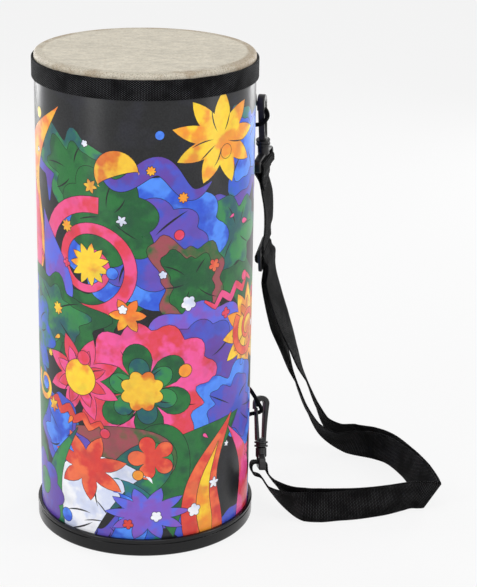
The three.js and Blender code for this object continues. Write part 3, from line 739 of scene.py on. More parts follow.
def band(line, half_width, count=60):
    """A band along a line of points: each side lies half a width to the line's left or right."""
    t = np.linspace(0, 1, count)
    middle = line(t)
    run = unit(np.gradient(middle, axis=0))
    side = np.stack([-run[:, 1], run[:, 0]], -1) * half_width(t)[:, None]
    return np.concatenate([middle + side, (middle - side)[::-1]])


def tapered(t):
    """A width that swells in the middle of a band and comes to a point at its ends."""
    return np.sin(math.pi * np.clip(t, 0.004, 0.996)) ** 0.7


def spiral(turns, width=0.13):
    """A band whose radius shrinks while its angle grows."""
    return band(lambda t: polar(1.0 - 0.86 * t, turns * math.tau * t),
                lambda t: width * (1.02 - 0.75 * t), 90)


def wave(waves, height, width=0.16):
    """A tapered band along a sine."""
    return band(lambda t: np.stack([2 * t - 1, height * np.sin(waves * math.tau * t)], -1),
                lambda t: width * tapered(t), 64)


def zigzag(corners, height):
    """A band along a triangle wave."""
    def line(t):
        """Points from end to end, up and down between the corners."""
        teeth = 2 * np.abs(2 * ((corners * t / 2) % 1.0) - 1) - 1
        return np.stack([2 * t - 1, height * teeth], -1)
    return band(line, lambda t: 0.09 * (0.25 + 0.75 * tapered(t)), corners * 6 + 1)


def flame(lean, width=0.34):
    """A band that narrows to a curling tip."""
    return band(lambda t: np.stack([2 * t - 1, lean * np.sin(math.pi * 1.3 * t) * t], -1),
                lambda t: width * np.sin(math.pi * np.clip(t, 0.004, 0.996) ** 0.55), 46)


def hairline():
    """A thin straight band."""
    return band(lambda t: np.stack([0 * t, 2 * t - 1], -1), lambda t: 0.0016 + 0 * t, 30)


def srgb(*values):
    """A linear colour from 8-bit values."""
    c = np.array(values, float) / 255
    return tuple(np.where(c <= 0.04045, c / 12.92, ((c + 0.055) / 1.055) ** 2.4).tolist())


# Each paint is a main tint and the tint that runs into it
PAINTS = {
    "green": (srgb(33, 112, 52), srgb(20, 82, 46)),
    "leaf": (srgb(50, 138, 70), srgb(26, 84, 96)),
    "moss": (srgb(30, 100, 48), srgb(158, 72, 84)),
    "blue": (srgb(48, 88, 212), srgb(30, 118, 92)),
    "royal": (srgb(58, 84, 200), srgb(100, 74, 178)),
    "sky": (srgb(78, 142, 244), srgb(40, 80, 206)),
    "violet": (srgb(128, 84, 190), srgb(88, 104, 222)),
    "plum": (srgb(98, 62, 160), srgb(70, 84, 196)),
    "pink": (srgb(234, 82, 142), srgb(220, 58, 74)),
    "rose": (srgb(218, 60, 66), srgb(238, 86, 158)),
    "red": (srgb(212, 56, 52), srgb(238, 112, 66)),
    "orange": (srgb(238, 112, 44), srgb(248, 190, 48)),
    "yellow": (srgb(248, 212, 48), srgb(240, 142, 46)),
    "gold": (srgb(242, 198, 54), srgb(214, 104, 38)),
    "white": (srgb(242, 243, 246), srgb(206, 214, 238)),
    "line": (srgb(14, 14, 20), srgb(20, 18, 30)),
}

# The paint of a front form's copy behind, where it differs, and the paint of a form's inner echo
BEHIND = {
    "green": "blue", "blue": "green", "leaf": "violet", "violet": "leaf", "rose": "orange",
    "pink": "sky", "orange": "rose", "sky": "pink", "yellow": "white", "white": "yellow"}
ECHO = {
    "green": "leaf", "leaf": "green", "moss": "green", "blue": "sky", "royal": "sky", "sky": "royal",
    "violet": "plum", "plum": "violet", "pink": "rose", "rose": "pink", "red": "orange",
    "orange": "gold", "yellow": "gold", "gold": "orange", "white": "white"}

# Forms on the front half: outline, place round the drum and height in shares of
# the drum's radius, size in the same shares, turn in degrees, stretch, paint
FRONT_FORMS = [
    (splash(1.3, 5), 1.10, 3.78, 0.47, 170, 1.3, "blue"),
    (star(9, 0.55), 0.72, 3.92, 0.42, 165, 1.2, "yellow"),
    (splash(4.0, 7), -0.68, 3.62, 0.43, 150, 1.4, "leaf"),
    (flame(0.5), -1.30, 3.35, 0.86, 84, 1.0, "orange"),
    (flame(-0.4, 0.20), -1.48, 3.00, 0.74, 96, 1.0, "pink"),
    (splash(2.2, 6), 0.95, 3.02, 0.40, 180, 1.3, "leaf"),
    (scallop(9, 0.16), -0.00, 3.02, 0.62, 180, 1.35, "sky"),
    (scallop(7, 0.20), -0.34, 3.26, 0.42, 140, 1.2, "green"),
    (splash(0.4, 4), 0.42, 2.66, 0.41, 120, 1.3, "moss"),
    (spiral(2.2), -0.52, 2.80, 0.56, 80, 1.0, "pink"),
    (drop(), -0.98, 2.76, 0.46, 110, 1.0, "violet"),
    (star(11, 0.62), -0.52, 2.80, 0.20, 180, 1.0, "yellow"),
    (splash(5.1, 6), -0.98, 2.24, 0.45, 170, 1.5, "green"),
    (splash(3.0, 8), -1.36, 1.98, 0.38, 100, 1.5, "blue"),
    (scallop(10, 0.14), 0.52, 1.86, 0.60, 180, 1.2, "violet"),
    (scallop(13, 0.14), 0.02, 1.62, 0.68, 168, 1.05, "rose"),
    (petals(6, 0.42), -0.02, 1.64, 0.46, 160, 1.0, "green"),
    (scallop(8, 0.22), -0.03, 1.64, 0.20, 180, 1.0, "gold"),
    (star(8, 0.52), -0.64, 1.70, 0.42, 158, 1.0, "pink"),
    (disc(), -0.64, 1.70, 0.17, 180, 1.0, "yellow"),
    (star(12, 0.66), 1.22, 2.02, 0.44, 180, 1.0, "yellow"),
    (spiral(1.6, 0.16), 1.22, 2.02, 0.27, 140, 1.0, "red"),
    (splash(2.9, 5), 1.00, 1.30, 0.45, 150, 1.6, "sky"),
    (drop(1.2), 0.50, 0.98, 0.60, 28, 1.0, "green"),
    (drop(1.2), 0.18, 0.74, 0.58, 278, 1.0, "green"),
    (drop(1.2), -0.30, 1.04, 0.60, 168, 1.0, "moss"),
    (drop(1.2), -0.18, 0.72, 0.52, 222, 1.0, "leaf"),
    (petals(5, 0.40), 0.06, 0.98, 0.22, 180, 1.0, "red"),
    (splash(1.9, 6), -0.86, 1.02, 0.40, 130, 1.5, "royal"),
    (wave(2.5, 0.12, 0.14), -1.34, 1.02, 0.92, 88, 1.0, "green"),
    (flame(0.35, 0.30), 0.66, 0.56, 0.74, 86, 1.0, "red"),
    (flame(0.25, 0.16), 0.62, 0.54, 0.50, 88, 1.0, "yellow"),
    (flame(-0.35, 0.24), 1.12, 0.52, 0.66, 96, 1.0, "rose"),
    (crescent(0.25), -0.42, 0.34, 0.62, 150, 1.0, "white"),
    (crescent(0.35), -0.30, 0.30, 0.46, 340, 1.0, "blue"),
    (star(7, 0.45), -0.56, 0.84, 0.34, 170, 1.2, "red"),
    (star(10, 0.55), 0.02, 0.42, 0.27, 180, 1.5, "violet"),
    (flame(0.30, 0.20), -0.92, 0.48, 0.74, 84, 1.0, "leaf"),
    (scallop(8, 0.20), -1.26, 0.42, 0.34, 160, 1.2, "plum"),
    (disc(), -1.24, 0.46, 0.13, 180, 1.0, "leaf"),
    (star(6, 0.50), -0.16, 2.36, 0.17, 180, 1.0, "orange"),
    (zigzag(9, 0.12), -0.74, 1.32, 0.40, 166, 1.0, "red"),
    (zigzag(7, 0.14), 0.92, 2.46, 0.36, 190, 1.0, "pink"),
    (wave(1.5, 0.22), 0.10, 3.62, 0.52, 172, 1.0, "plum"),
    (spiral(1.4, 0.20), -1.18, 1.48, 0.17, 150, 1.0, "yellow"),
    (crescent(0.2), -0.26, 3.66, 0.20, 110, 1.0, "gold"),
]

# Bands that run right round the drum: height, swing, waves, phase, half width, edge waves, paint
ROUND_BANDS = [
    (2.42, 0.34, 2, 0.9, 0.25, 9, "green"),
    (1.22, 0.24, 3, 2.6, 0.17, 14, "blue"),
    (0.22, 0.14, 4, 1.0, 0.16, 11, "royal"),
    (3.42, 0.20, 2, 3.9, 0.12, 12, "plum"),
]

# Small forms that are strewn between the large ones
SMALL_FORMS = [
    (disc(14), "yellow"), (star(5, 0.45), "white"), (petals(5, 0.45), "red"), (disc(14), "pink"),
    (drop(1.6, 18), "orange"), (star(6, 0.5), "gold"), (scallop(6, 0.2, 36), "violet"),
    (petals(4, 0.4), "pink"), (scallop(5, 0.3, 30), "white"), (disc(14), "sky"),
    (drop(1.6, 18), "rose"), (star(8, 0.6), "yellow"),
]
SMALL_COUNT = 110


def all_round(height, swing, waves, phase, half_width, edge_waves, girth, radius):
    """A band right round the drum: its middle is a sine of the way round, and its half width
    swells by a third with the edge waves. Its lower edge runs down in narrow drips, a high power
    of a sine. It goes a little past both ends of the sheet."""
    share = np.linspace(-0.02, 1.02, 340)
    turn = math.tau * share
    middle = height + swing * np.sin(waves * turn + phase)
    half = half_width * (1 + 0.3 * np.sin(edge_waves * turn) + 0.12 * np.sin(2 * edge_waves * turn + phase))
    drips = np.clip(np.sin(13 * turn + 3 * phase), 0, 1) ** 9 * (1.2 + np.sin(5 * turn + phase)) * 0.11
    x = (share - 0.5) * girth
    upper = np.stack([x, (middle + half) * radius], -1)
    lower = np.stack([x, (middle - 0.9 * half - drips) * radius], -1)
    return np.concatenate([upper, lower[::-1]])


def turned_form(outline, x, y, size, turn, stretch, radius):
    """An outline stretched, turned and moved to its place on the sheet."""
    c, s = math.cos(math.radians(turn)), math.sin(math.radians(turn))
    points = outline * [stretch, 1.0] * size * radius
    return points @ np.array([[c, s], [-s, c]]) + np.array([x, y]) * radius


def widened(outline, margin):
    """An outline moved outwards along its own normals."""
    area = np.sum(outline[:, 0] * np.roll(outline[:, 1], -1) - np.roll(outline[:, 0], -1) * outline[:, 1])
    run = unit(np.roll(outline, -1, 0) - np.roll(outline, 1, 0) + 1e-9)
    return outline + np.stack([run[:, 1], -run[:, 0]], -1) * margin * np.sign(area)


def vein(angle, reach, bend):
    """A hair-thin band from near a form's middle towards its edge, bent to one side."""
    c, s = math.cos(angle), math.sin(angle)
    start = 0.18

    def line(t):
        """Points straight outwards, and aside by the square of the way."""
        out, aside = start + (reach - start) * t, bend * t * t
        return np.stack([out * c - aside * s, out * s + aside * c], -1)

    return band(line, lambda t: 0.014 * tapered(t), 6)


def inner_marks(outline, size, paint, number):
    """Marks inside a large form, in its own axes: thin veins, and in every second form that isn't
    very large an inner echo of its outline in a second paint."""
    marks = [(outline * 0.70, ECHO[paint])] if number % 2 == 0 and size < 0.65 else []
    count = 5 + number % 2
    for k in range(count):
        angle = math.tau * (k + 0.3 * math.sin(5.0 * k + number)) / count
        reach, bend = 0.62 + 0.10 * math.sin(3.0 * k), 0.16 * math.sin(2.0 * k + number)
        marks.append((vein(angle, reach, bend), "line"))
    return marks


def painted_layers(radius, girth):
    """Every painted form as (outline, paint name), from the lowest to the topmost. Each front form
    has a copy behind, upside down and in other paints. Heights are in shares of the radius."""
    layers = [
        (all_round(*shares, girth, radius), paint) for *shares, paint in ROUND_BANDS]
    half = girth / 2 / radius
    top, seam_inset = 4.42, 1.4
    for number, (outline, x, y, size, turn, stretch, paint) in enumerate(FRONT_FORMS):
        # Large full forms are marked. Spirals have more points, and drops and other bands are flatter.
        marked = size >= 0.36 and len(outline) <= 150 and outline[:, 1].max() >= 0.6
        behind = x + half * (1 if x < 0 else -1)
        for where, height, angle, tint in (
                (x, y, turn, paint), (behind, top - y, 180 - turn, BEHIND.get(paint, paint))):
            marks = inner_marks(outline, size, tint, number) if marked else []
            for mark, kind in [(outline, tint), *marks]:
                layers.append((turned_form(mark, where, height, size, angle, stretch, radius), kind))
    seam = (0.5 * girth - seam_inset) / radius
    layers.append((turned_form(hairline(), seam, 2.2, 2.3, 0, 1.0, radius), "line"))
    draws = np.random.default_rng(7)
    spots = []
    while len(spots) < SMALL_COUNT:
        x, y = draws.uniform(-half, half), draws.uniform(0.25, 4.2)
        size, turn = draws.uniform(0.028, 0.075), draws.uniform(0, 360)
        if all((x - a) ** 2 + (y - b) ** 2 > 0.05 for a, b in spots):
            outline, paint = SMALL_FORMS[len(spots) % len(SMALL_FORMS)]
            layers.append((turned_form(outline, x, y, size, turn, 1.0, radius), paint))
            spots.append((x, y))
    return layers


def inside(outline, points):
    """Whether points lie inside a closed outline, by their winding number."""
    ax, ay = outline[:, 0], outline[:, 1]
    bx, by = np.roll(ax, -1), np.roll(ay, -1)
    px, py = points[:, :1], points[:, 1:]
    left = (bx - ax) * (py - ay) - (px - ax) * (by - ay)
    up = (ay <= py) & (by > py) & (left > 0)
    down = (ay > py) & (by <= py) & (left < 0)
    return (up.sum(1) - down.sum(1)) != 0


def cut_sheet(loops, girth, low, high, holes):
    """A flat sheet cut into triangles along every loop: points, and triangles by index. The grid
    under it keeps the rolled sheet round."""
    columns, rows = 144, 20
    grid_x = np.linspace(-girth / 2, girth / 2, columns + 1)
    grid_y = np.linspace(low, high, rows + 1)
    gx, gy = np.meshgrid(grid_x, grid_y, indexing="ij")
    points = [np.stack([gx.ravel(), gy.ravel()], -1)]
    ids = np.arange((columns + 1) * (rows + 1)).reshape(columns + 1, rows + 1)
    edges = [np.stack([line[:-1], line[1:]], -1) for line in (ids[0], ids[-1], ids[:, 0], ids[:, -1])]
    start = len(points[0])
    for loop in loops + holes:
        loop = np.stack([loop[:, 0], np.clip(loop[:, 1], low + 0.5, high - 0.5)], -1)
        number = start + np.arange(len(loop))
        points.append(loop)
        edges.append(np.stack([number, np.roll(number, -1)], -1))
        start += len(loop)
    flat = [Vector(p) for p in np.concatenate(points).tolist()]
    cut = delaunay_2d_cdt(flat, np.concatenate(edges).tolist(), [], 0, 1e-4)
    spots = np.array([tuple(v) for v in cut[0]])
    return spots, np.array(cut[2])


def rolled(spots, radius, girth):
    """Flat points rolled round the drum. Zero is the side that the camera sees, and the seam is
    at the back."""
    angle = spots[:, 0] / girth * math.tau - math.pi / 2
    return np.stack([radius * np.cos(angle), radius * np.sin(angle), spots[:, 1] - DRUM_HEIGHT], -1)


def shapes_on_sheet(layers, girth):
    """Each form that reaches the sheet as (outline, paint name), with a thin edge line below it,
    whose name is None. A form across the seam is there at both ends."""
    line_width = 0.42
    shapes = []
    for outline, paint in layers:
        for shift in (-girth, 0.0, girth):
            moved = outline + [shift, 0.0]
            if moved[:, 0].min() < girth / 2 and moved[:, 0].max() > -girth / 2:
                if paint != "line":
                    shapes.append((widened(moved, line_width), None))
                shapes.append((moved, paint))
    return shapes


def cord_holes(radius):
    """The outlines of the four cord holes on the flat sheet."""
    size = sizes()
    hole_radius = size.cord_diameter / MM / 2 + size.seat_gap / MM
    anchor = radius * (ANCHOR_ANGLE + math.pi / 2)
    return [
        disc(24) * hole_radius + [anchor, middle + side * ANCHOR_SPACING / 2]
        for middle in ANCHOR_HEIGHTS.values() for side in (-1, 1)]


def triangle_tints(shapes, middles):
    """The two tints at each triangle's middle: those of the topmost form over it, or the ground's."""
    ground = colours().ground
    paint = np.tile((*ground, 1.0), (len(middles), 1))
    wash = np.tile((*(c * 1.5 for c in ground), 1.0), (len(middles), 1))
    for shape, name in shapes:
        bottom, top = shape.min(0), shape.max(0)
        near = np.flatnonzero(((middles >= bottom) & (middles <= top)).all(1))
        hit = near[inside(shape, middles[near])]
        tints = PAINTS[name] if name else (colours().outline, colours().outline)
        paint[hit, :3], wash[hit, :3] = tints
    return paint, wash


def sheet_walls(faces, count):
    """Triangles between the open edges of a sheet and those of its copy, count points further on."""
    pairs = np.concatenate([faces[:, [0, 1]], faces[:, [1, 2]], faces[:, [2, 0]]])
    alone = ~np.isin(pairs[:, 0] * count + pairs[:, 1], pairs[:, 1] * count + pairs[:, 0])
    start, end = pairs[alone].T
    return np.concatenate([
        np.stack([end, start, start + count], -1), np.stack([end, start + count, end + count], -1)])


def wrap_normals(points, sheets, walls):
    """Each corner's normal: straight off the drum's axis on the outer sheet, towards it on the
    inner one, and square to the face on a wall."""
    out = unit(points * [1.0, 1.0, 0.0])
    signs = np.repeat([1.0, -1.0], len(sheets) // 2)
    rounded_normals = out[sheets] * signs[:, None, None]
    a, b, c = points[walls].transpose(1, 0, 2)
    flat_normals = unit(np.cross(b - a, c - a) + 1e-12)
    return np.concatenate([rounded_normals, np.repeat(flat_normals[:, None], 3, axis=1)])


def make_wrap():
    """The wrap: a sheet cut along every painted form, rolled round the drum, with its own inside."""
    size = sizes()
    radius = size.drum_radius / MM
    girth = math.tau * radius
    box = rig.box("printed_wrap")
    low, high = (box[0].z - FLOOR) / MM, (box[1].z - FLOOR) / MM
    shapes = shapes_on_sheet(painted_layers(radius, girth), girth)
    holes = cord_holes(radius)
    spots, triangles = cut_sheet([shape for shape, _ in shapes], girth, low, high, holes)
    middles = spots[triangles].mean(1)
    edge = girth / 2 - 1e-6
    keep = (np.abs(middles[:, 0]) < edge) & (middles[:, 1] > low) & (middles[:, 1] < high)
    for hole in holes:
        keep &= ~inside(hole, middles)
    paint, wash = triangle_tints(shapes, middles[keep])
    outer = rolled(spots, radius, girth)
    inner = rolled(spots, radius - size.wrap_thickness / MM, girth)
    _, first, joined = np.unique(np.round(outer, 4), axis=0, return_index=True, return_inverse=True)
    faces = joined.ravel()[triangles[keep]]
    sound = (faces != np.roll(faces, 1, axis=1)).all(1)
    faces = faces[sound]
    walls = sheet_walls(faces, len(first))
    sheets = np.concatenate([faces, faces[:, ::-1] + len(first)])
    points = np.concatenate([outer[first], inner[first]])
    made = piece(
        "painted_wrap", points, np.concatenate([sheets, walls]).tolist(), painted_paper(), "painted_wrap")
    bare_paper = np.tile([0.6, 0.58, 0.52, 1.0], (len(faces) + len(walls), 1))
    for name, tint in (("paint", paint), ("wash", wash)):
        layer = made.data.color_attributes.new(name, "FLOAT_COLOR", "CORNER")
        corner_tints = np.repeat(np.concatenate([tint[sound], bare_paper]), 3, axis=0)
        layer.data.foreach_set("color", corner_tints.astype(np.float32).ravel())
    normals = wrap_normals(points, sheets, walls)
    made.data.normals_split_custom_set(normals.reshape(-1, 3).tolist())
    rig.replaces(made, "printed_wrap")
    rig.ride(made, "drum")


def make_head():
    """The head: a flat disc, a rounded collar with fine puckers, and a skirt, as one film."""
    size = sizes()
    radius, film = size.drum_radius / MM, size.film_thickness / MM
    collar, skirt = size.collar_radius / MM, size.skirt_depth / MM
    corner = np.linspace(0, math.pi / 2, 9)
    centre = radius - collar
    middle = 4.0
    outside = np.stack([centre + collar * np.cos(corner), -collar + collar * np.sin(corner)], -1)
    flat = np.stack([np.linspace(centre - 1.5, middle, 20), np.zeros(20)], -1)
    under = np.stack([np.linspace(middle, centre - 1.5, 20), np.full(20, -film)], -1)
    back = corner[::-1]
    inner = collar - film
    inside_arc = np.stack([centre + inner * np.cos(back), -collar + inner * np.sin(back)], -1)
    edge = [[radius - film, -skirt], [radius, -skirt], [radius, -0.6 * skirt]]
    profile = np.concatenate([edge, outside, flat, under, inside_arc])

    def puckers(angle, r, z):
        """The radius swings with the angle where the film comes round the collar."""
        low = np.clip((-z - 1.2) / 2.5, 0, 1)
        swing = np.sin(61 * angle + 1.5 * np.sin(7 * angle)) * 0.5 + np.sin(103 * angle) * 0.3
        return r - 0.11 * low * (0.5 + 0.5 * swing), z

    made = revolved("head_film", profile, skin_film(), "skin_film", 384, puckers)
    close_middle(made, middle * MM)
    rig.replaces(made, "drumhead")
    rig.ride(made, "drum")


def close_middle(made, reach):
    """Fills the two small holes that a revolved disc leaves at its middle, each with one face."""
    mesh = bmesh.new()
    mesh.from_mesh(made.data)
    mesh.verts.ensure_lookup_table()
    inner = [f for f in mesh.faces if all(math.hypot(v.co.x, v.co.y) < reach * 1.01 for v in f.verts)]
    bmesh.ops.delete(mesh, geom=inner, context="FACES")
    edges = [e for e in mesh.edges if e.is_boundary]
    bmesh.ops.holes_fill(mesh, edges=edges, sides=0)
    mesh.to_mesh(made.data)
    mesh.free()
    made.data.update()


def make_band():
    """The woven band: a rounded strip round the collar that meets itself at the back."""
    size = sizes()
    inner = size.drum_radius / MM + size.seat_gap / MM
    outer = inner + size.band_thickness / MM
    top = -size.band_drop / MM
    bottom = top - size.band_height / MM
    profile = rounded(
        [[inner, bottom], [outer, bottom], [outer, top], [inner, top]], [0.3, 0.75, 0.75, 0.3], 6)
    face = [i for i, p in enumerate(profile) if p[0] > outer - 1e-6]
    middle = np.linspace(profile[face[0]], profile[face[-1]], 14)[1:-1]
    profile = np.concatenate([profile[:face[0] + 1], middle, profile[face[-1]:]])
    half_gap = 0.25 / inner
    angles = np.linspace(math.pi / 2 + half_gap, math.pi / 2 + math.tau - half_gap, 480)[:, None]
    ripple = 0.06 * np.sin(23 * angles) + 0.05 * np.sin(57 * angles + 1.0)
    height = profile[None, :, 1] + ripple * (profile[None, :, 1] > (top + bottom) / 2)
    swell = 0.05 * np.sin(9 * angles) * (profile[None, :, 0] > inner + 0.5)
    radius = profile[None, :, 0] + swell
    rings = np.stack([radius * np.cos(angles), radius * np.sin(angles), height], -1)
    along = (angles[:, 0] - angles[0, 0]) * outer
    made = swept(
        "woven_band", rings[::-1][:, ::-1], edge_tape(), "edge_tape", along, travelled_along(profile))
    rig.replaces(made, "top_band")
    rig.ride(made, "drum")


def make_rim():
    """The rim: a channel that takes the tube's edge, with a groove below its lip."""
    size = sizes()
    inner_face = size.drum_radius / MM + size.seat_gap / MM
    outer = inner_face + size.rim_wall / MM
    lip, top = outer + 0.2, size.rim_height / MM
    groove_top, groove_bottom = top - 2.5, top - 3.5
    groove = outer - 0.8
    leg = inner_face - size.seat_gap / MM * 3 - size.wrap_thickness / MM - size.wall_thickness / MM
    leg_inner, leg_top, channel = leg - 2.0, 9.0, 2.5
    corners = [
        (leg_inner, 0, 1.4), (outer, 0, 1.7), (outer, groove_bottom, 0.3), (groove, groove_bottom, 0.2),
        (groove, groove_top, 0.2), (lip, groove_top, 0.25), (lip, top, 0.9), (inner_face, top, 0.35),
        (inner_face, channel, 0.4), (leg, channel, 0.4), (leg, leg_top, 0.4), (leg_inner, leg_top, 0.6)]
    profile = rounded([c[:2] for c in corners], [c[2] for c in corners], 5)
    profile[:, 1] -= DRUM_HEIGHT
    rim = moulded("moulded rim", colours().rim, 0.19, 1500.0, 0.30)
    made = revolved("foot_rim", profile, rim, "moulded_rim", 320)
    made.data.set_sharp_from_angle(angle=math.radians(50))
    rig.replaces(made, "bottom_rim")
    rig.ride(made, "drum")


# Cords


def curve_through(route, step, fewest):
    """Points and directions about a step apart on the curve through a route."""
    route = np.asarray(route, float)
    return through(route, np.maximum(fewest, np.round(gaps_between(route) / step).astype(int)))


def tube(name, route, radius, finish, sides=20):
    """A braided cord along a route: its section turns without twisting, and the radius swells
    where two sets of strands cross."""
    crossings, lay_per_mm, relief = 4, 1.9, 0.05
    centres, runs = curve_through(route, 0.45, 1)
    runs = unit(runs)
    away = np.cross(runs[0], [0.3, 0.5, 0.8])
    firsts = []
    for run in runs:
        away = away - run * (away @ run)
        away = away / np.linalg.norm(away)
        firsts.append(away)
    firsts = np.array(firsts)
    seconds = np.cross(runs, firsts)
    travelled = travelled_along(centres)
    angle = turn_of(sides)[None, :]
    lay = travelled[:, None] * lay_per_mm
    braid = np.sin(crossings * angle + lay) * np.sin(crossings * angle - lay)
    reach = radius * (1 - relief + relief * np.abs(braid))
    rings = centres[:, None] + reach[..., None] * (
        np.cos(angle)[..., None] * firsts[:, None] + np.sin(angle)[..., None] * seconds[:, None])
    across = np.arange(sides) * math.tau * radius / sides
    return swept(name, rings, finish, "black_cord", travelled, across), travelled[-1]


def knot_route(centre, out, size):
    """An overhand knot: a trefoil line whose ends are left open, flattened towards the wall."""
    t = np.linspace(0.10, 0.96, 34) * math.tau
    x = (np.sin(t) + 2 * np.sin(2 * t)) / 3
    y = (np.cos(t) - 2 * np.cos(2 * t)) / 3
    z = -np.sin(3 * t) * 0.42
    out = np.array([*out, 0.0])
    side = np.array([-out[1], out[0], 0.0])
    return centre + size * (x[:, None] * side + y[:, None] * np.array([0, 0, 1.0]) + z[:, None] * out)


# Each loop's hook, and the route of its free part in the hook's own axes
CORD_LOOPS = {
    "upper": (UPPER_HEAD, [
        [-3.4, 4.6, 51.0], [-1.2, 4.5, 46.5], [-0.2, 0.8, 43.8],
        [-1.2, -3.0, 41.0], [-4.6, -4.5, 37.6], [-7.7, -1.6, 34.0]]),
    "lower": (LOWER_HEAD, [
        [-7.6, -3.4, 53.2], [-4.6, -4.9, 47.4], [-1.2, -3.2, 42.4],
        [-0.4, 0.4, 40.2], [-1.6, 3.9, 39.2], [-5.6, 5.6, 38.4]]),
}


def make_cords():
    """The two loops of cord, each with a knot behind each of its two holes."""
    size = sizes()
    radius = size.cord_diameter / MM / 2
    drum = size.drum_radius / MM
    shell_outer = drum - size.wrap_thickness / MM - size.seat_gap / MM
    shell_inner = shell_outer - size.wall_thickness / MM
    finish = braided_cord()
    out = np.array([math.cos(ANCHOR_ANGLE), math.sin(ANCHOR_ANGLE)])
    for name, (head, free) in CORD_LOOPS.items():
        height = ANCHOR_HEIGHTS[name]
        ends = []
        for side in (1, -1):
            level = height + side * ANCHOR_SPACING / 2 - DRUM_HEIGHT
            ends.append([np.array([*(out * r), level]) for r in (
                shell_inner - 0.6, shell_inner + 1.0, shell_outer, drum + radius)])
        route = [*ends[0], *placed(head, free), *ends[1][::-1]]
        made, travelled = tube(f"{name}_cord", route, radius, finish)
        dense, _ = curve_through(route, 0.5, 2)
        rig.replaces(made, f"{name}_cord_loop")
        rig.cord(
            made, exit=tuple(route[0] * MM), length=travelled * MM, diameter=size.cord_diameter,
            far_end="object", stiffness="limp", lay="hanging",
            path=[tuple(p * MM) for p in dense])
        for which, end in zip(("top", "bottom"), ends):
            centre = np.array([*(out * (shell_inner - 4.1)), end[0][2]])
            knot, _ = tube(
                f"{name}_knot_{which}", knot_route(centre, out, 2.45), radius * 0.86, finish, 14)
            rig.ride(knot, "drum")
        level = (height - DRUM_HEIGHT) * MM
        near, far = (tuple([*(out * (drum + off) * MM), level]) for off in (1.2, 7.0))
        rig.blend(made, "drum", f"{name}_hook", near, far)


# Webbing


def station(frame_axes, x, z, y=0.0, lean=0.0, turn=0.0):
    """A centre and a direction across in a frame's own axes: X across, Y along the bar, Z up. lean
    tips the direction out of level and turn goes about the stem, both in radians."""
    place, rows = frame_axes
    c, s = math.cos(turn), math.sin(turn)
    about = np.array([[c, s, 0], [-s, c, 0], [0, 0, 1]])
    at = place + (np.array([x, y, z]) @ about) @ rows
    across = (np.array([0, math.cos(lean), math.sin(lean)]) @ about) @ rows
    return [*at, *across]


def round_corner(frame_axes, corner_x, corner_z, layer, angles):
    """Stations round one corner of a bar, at a layer's distance from it."""
    web = sizes().web_thickness / MM
    gap = sizes().seat_gap / MM
    reach = gap + web / 2 + layer * (web + gap) + 0.05 * web
    return [
        station(frame_axes, corner_x + reach * math.cos(a), corner_z + reach * math.sin(a))
        for a in np.radians(angles)]


# The webbing's route from the slider to the lower bar, close to the CAD model's: distance off the drum's
# wall and to the back in widths of the webbing, height, direction across, and how far the inner
# length lies behind, in layers. The height is in slider heights, and then in webbing widths.
FALL_ROUTE = [
    (0.70, 2.45, 0.885, 0.33, 0.88, 0.33, 1.9),
    (0.92, 2.72, 0.769, 0.31, 0.88, 0.36, 3.1),
    (1.17, 2.96, 0.662, 0.28, 0.89, 0.35, 4.2),
    (1.43, 3.16, 0.565, 0.17, 0.94, 0.29, 4.4),
    (1.68, 3.32, 0.465, 0.06, 0.97, 0.23, 4.5),
    (1.91, 3.44, 0.389, -0.11, 0.98, 0.15, 4.8),
    (2.21, 3.57, 0.288, -0.18, 0.98, 0.10, 5.4),
    (2.54, 3.68, 0.195, -0.29, 0.96, -0.01, 5.1),
    (2.91, 3.79, 0.128, -0.47, 0.77, -0.43, 5.0),
]
FLOOR_ROUTE = [
    (3.51, 3.86, 0.58, -0.19, 0.33, -0.92, 5.2),
    (4.27, 3.51, 0.53, 0.06, 0.12, -0.99, 4.6),
    (4.70, 3.06, 0.52, 0.07, 0.03, -1.00, 3.6),
    (5.12, 1.93, 0.52, -0.09, -0.01, -1.00, 2.4),
    (5.37, 0.82, 0.50, -0.37, -0.02, -0.93, 1.7),
    (5.50, -0.04, 0.46, -0.45, 0.14, -0.88, 1.6),
    (5.49, -0.30, 0.45, -0.45, 0.20, -0.87, 1.6),
    (5.27, -0.35, 0.47, -0.32, 0.22, -0.92, 1.5),
    (4.95, -0.38, 0.50, -0.16, 0.24, -0.96, 1.4),
    (4.64, -0.50, 0.50, -0.09, 0.20, -0.97, 1.4),
    (4.02, -0.76, 0.51, 0.00, 0.12, -0.99, 1.4),
    (3.19, -0.98, 0.51, 0.00, 0.06, -1.00, 1.9),
    (2.59, -1.10, 0.52, 0.03, 0.08, -1.00, 3.0),
    (2.11, -1.17, 0.52, 0.03, 0.05, -1.00, 4.0),
    (1.56, -1.10, 0.51, 0.08, 0.10, -0.99, 4.2),
    (1.12, -0.65, 0.46, 0.18, 0.45, -0.87, 3.8),
    (0.66, -0.39, 0.70, 0.20, 0.77, -0.61, 4.1),
]

# Stations of the length above the slider: share of the way down to it, distance off the straight
# line outwards and to the back in widths of the webbing, and direction across
RUN_ROUTE = [(0.43, 0.13, 0.0, 0.27, 0.88, 0.38), (0.74, 0.12, 0.0, 0.29, 0.88, 0.37)]


def set_back(stations, gaps):
    """Stations set back from a run of stations, towards the inside of the loop."""
    stations = np.array(stations)
    _, runs = through(stations[:, :3], np.ones(len(stations) - 1, int))
    out = unit(np.cross(unit(runs), unit(stations[:, 3:])))
    moved = stations.copy()
    moved[:, :3] -= out * np.asarray(gaps)[:, None]
    return moved.tolist()


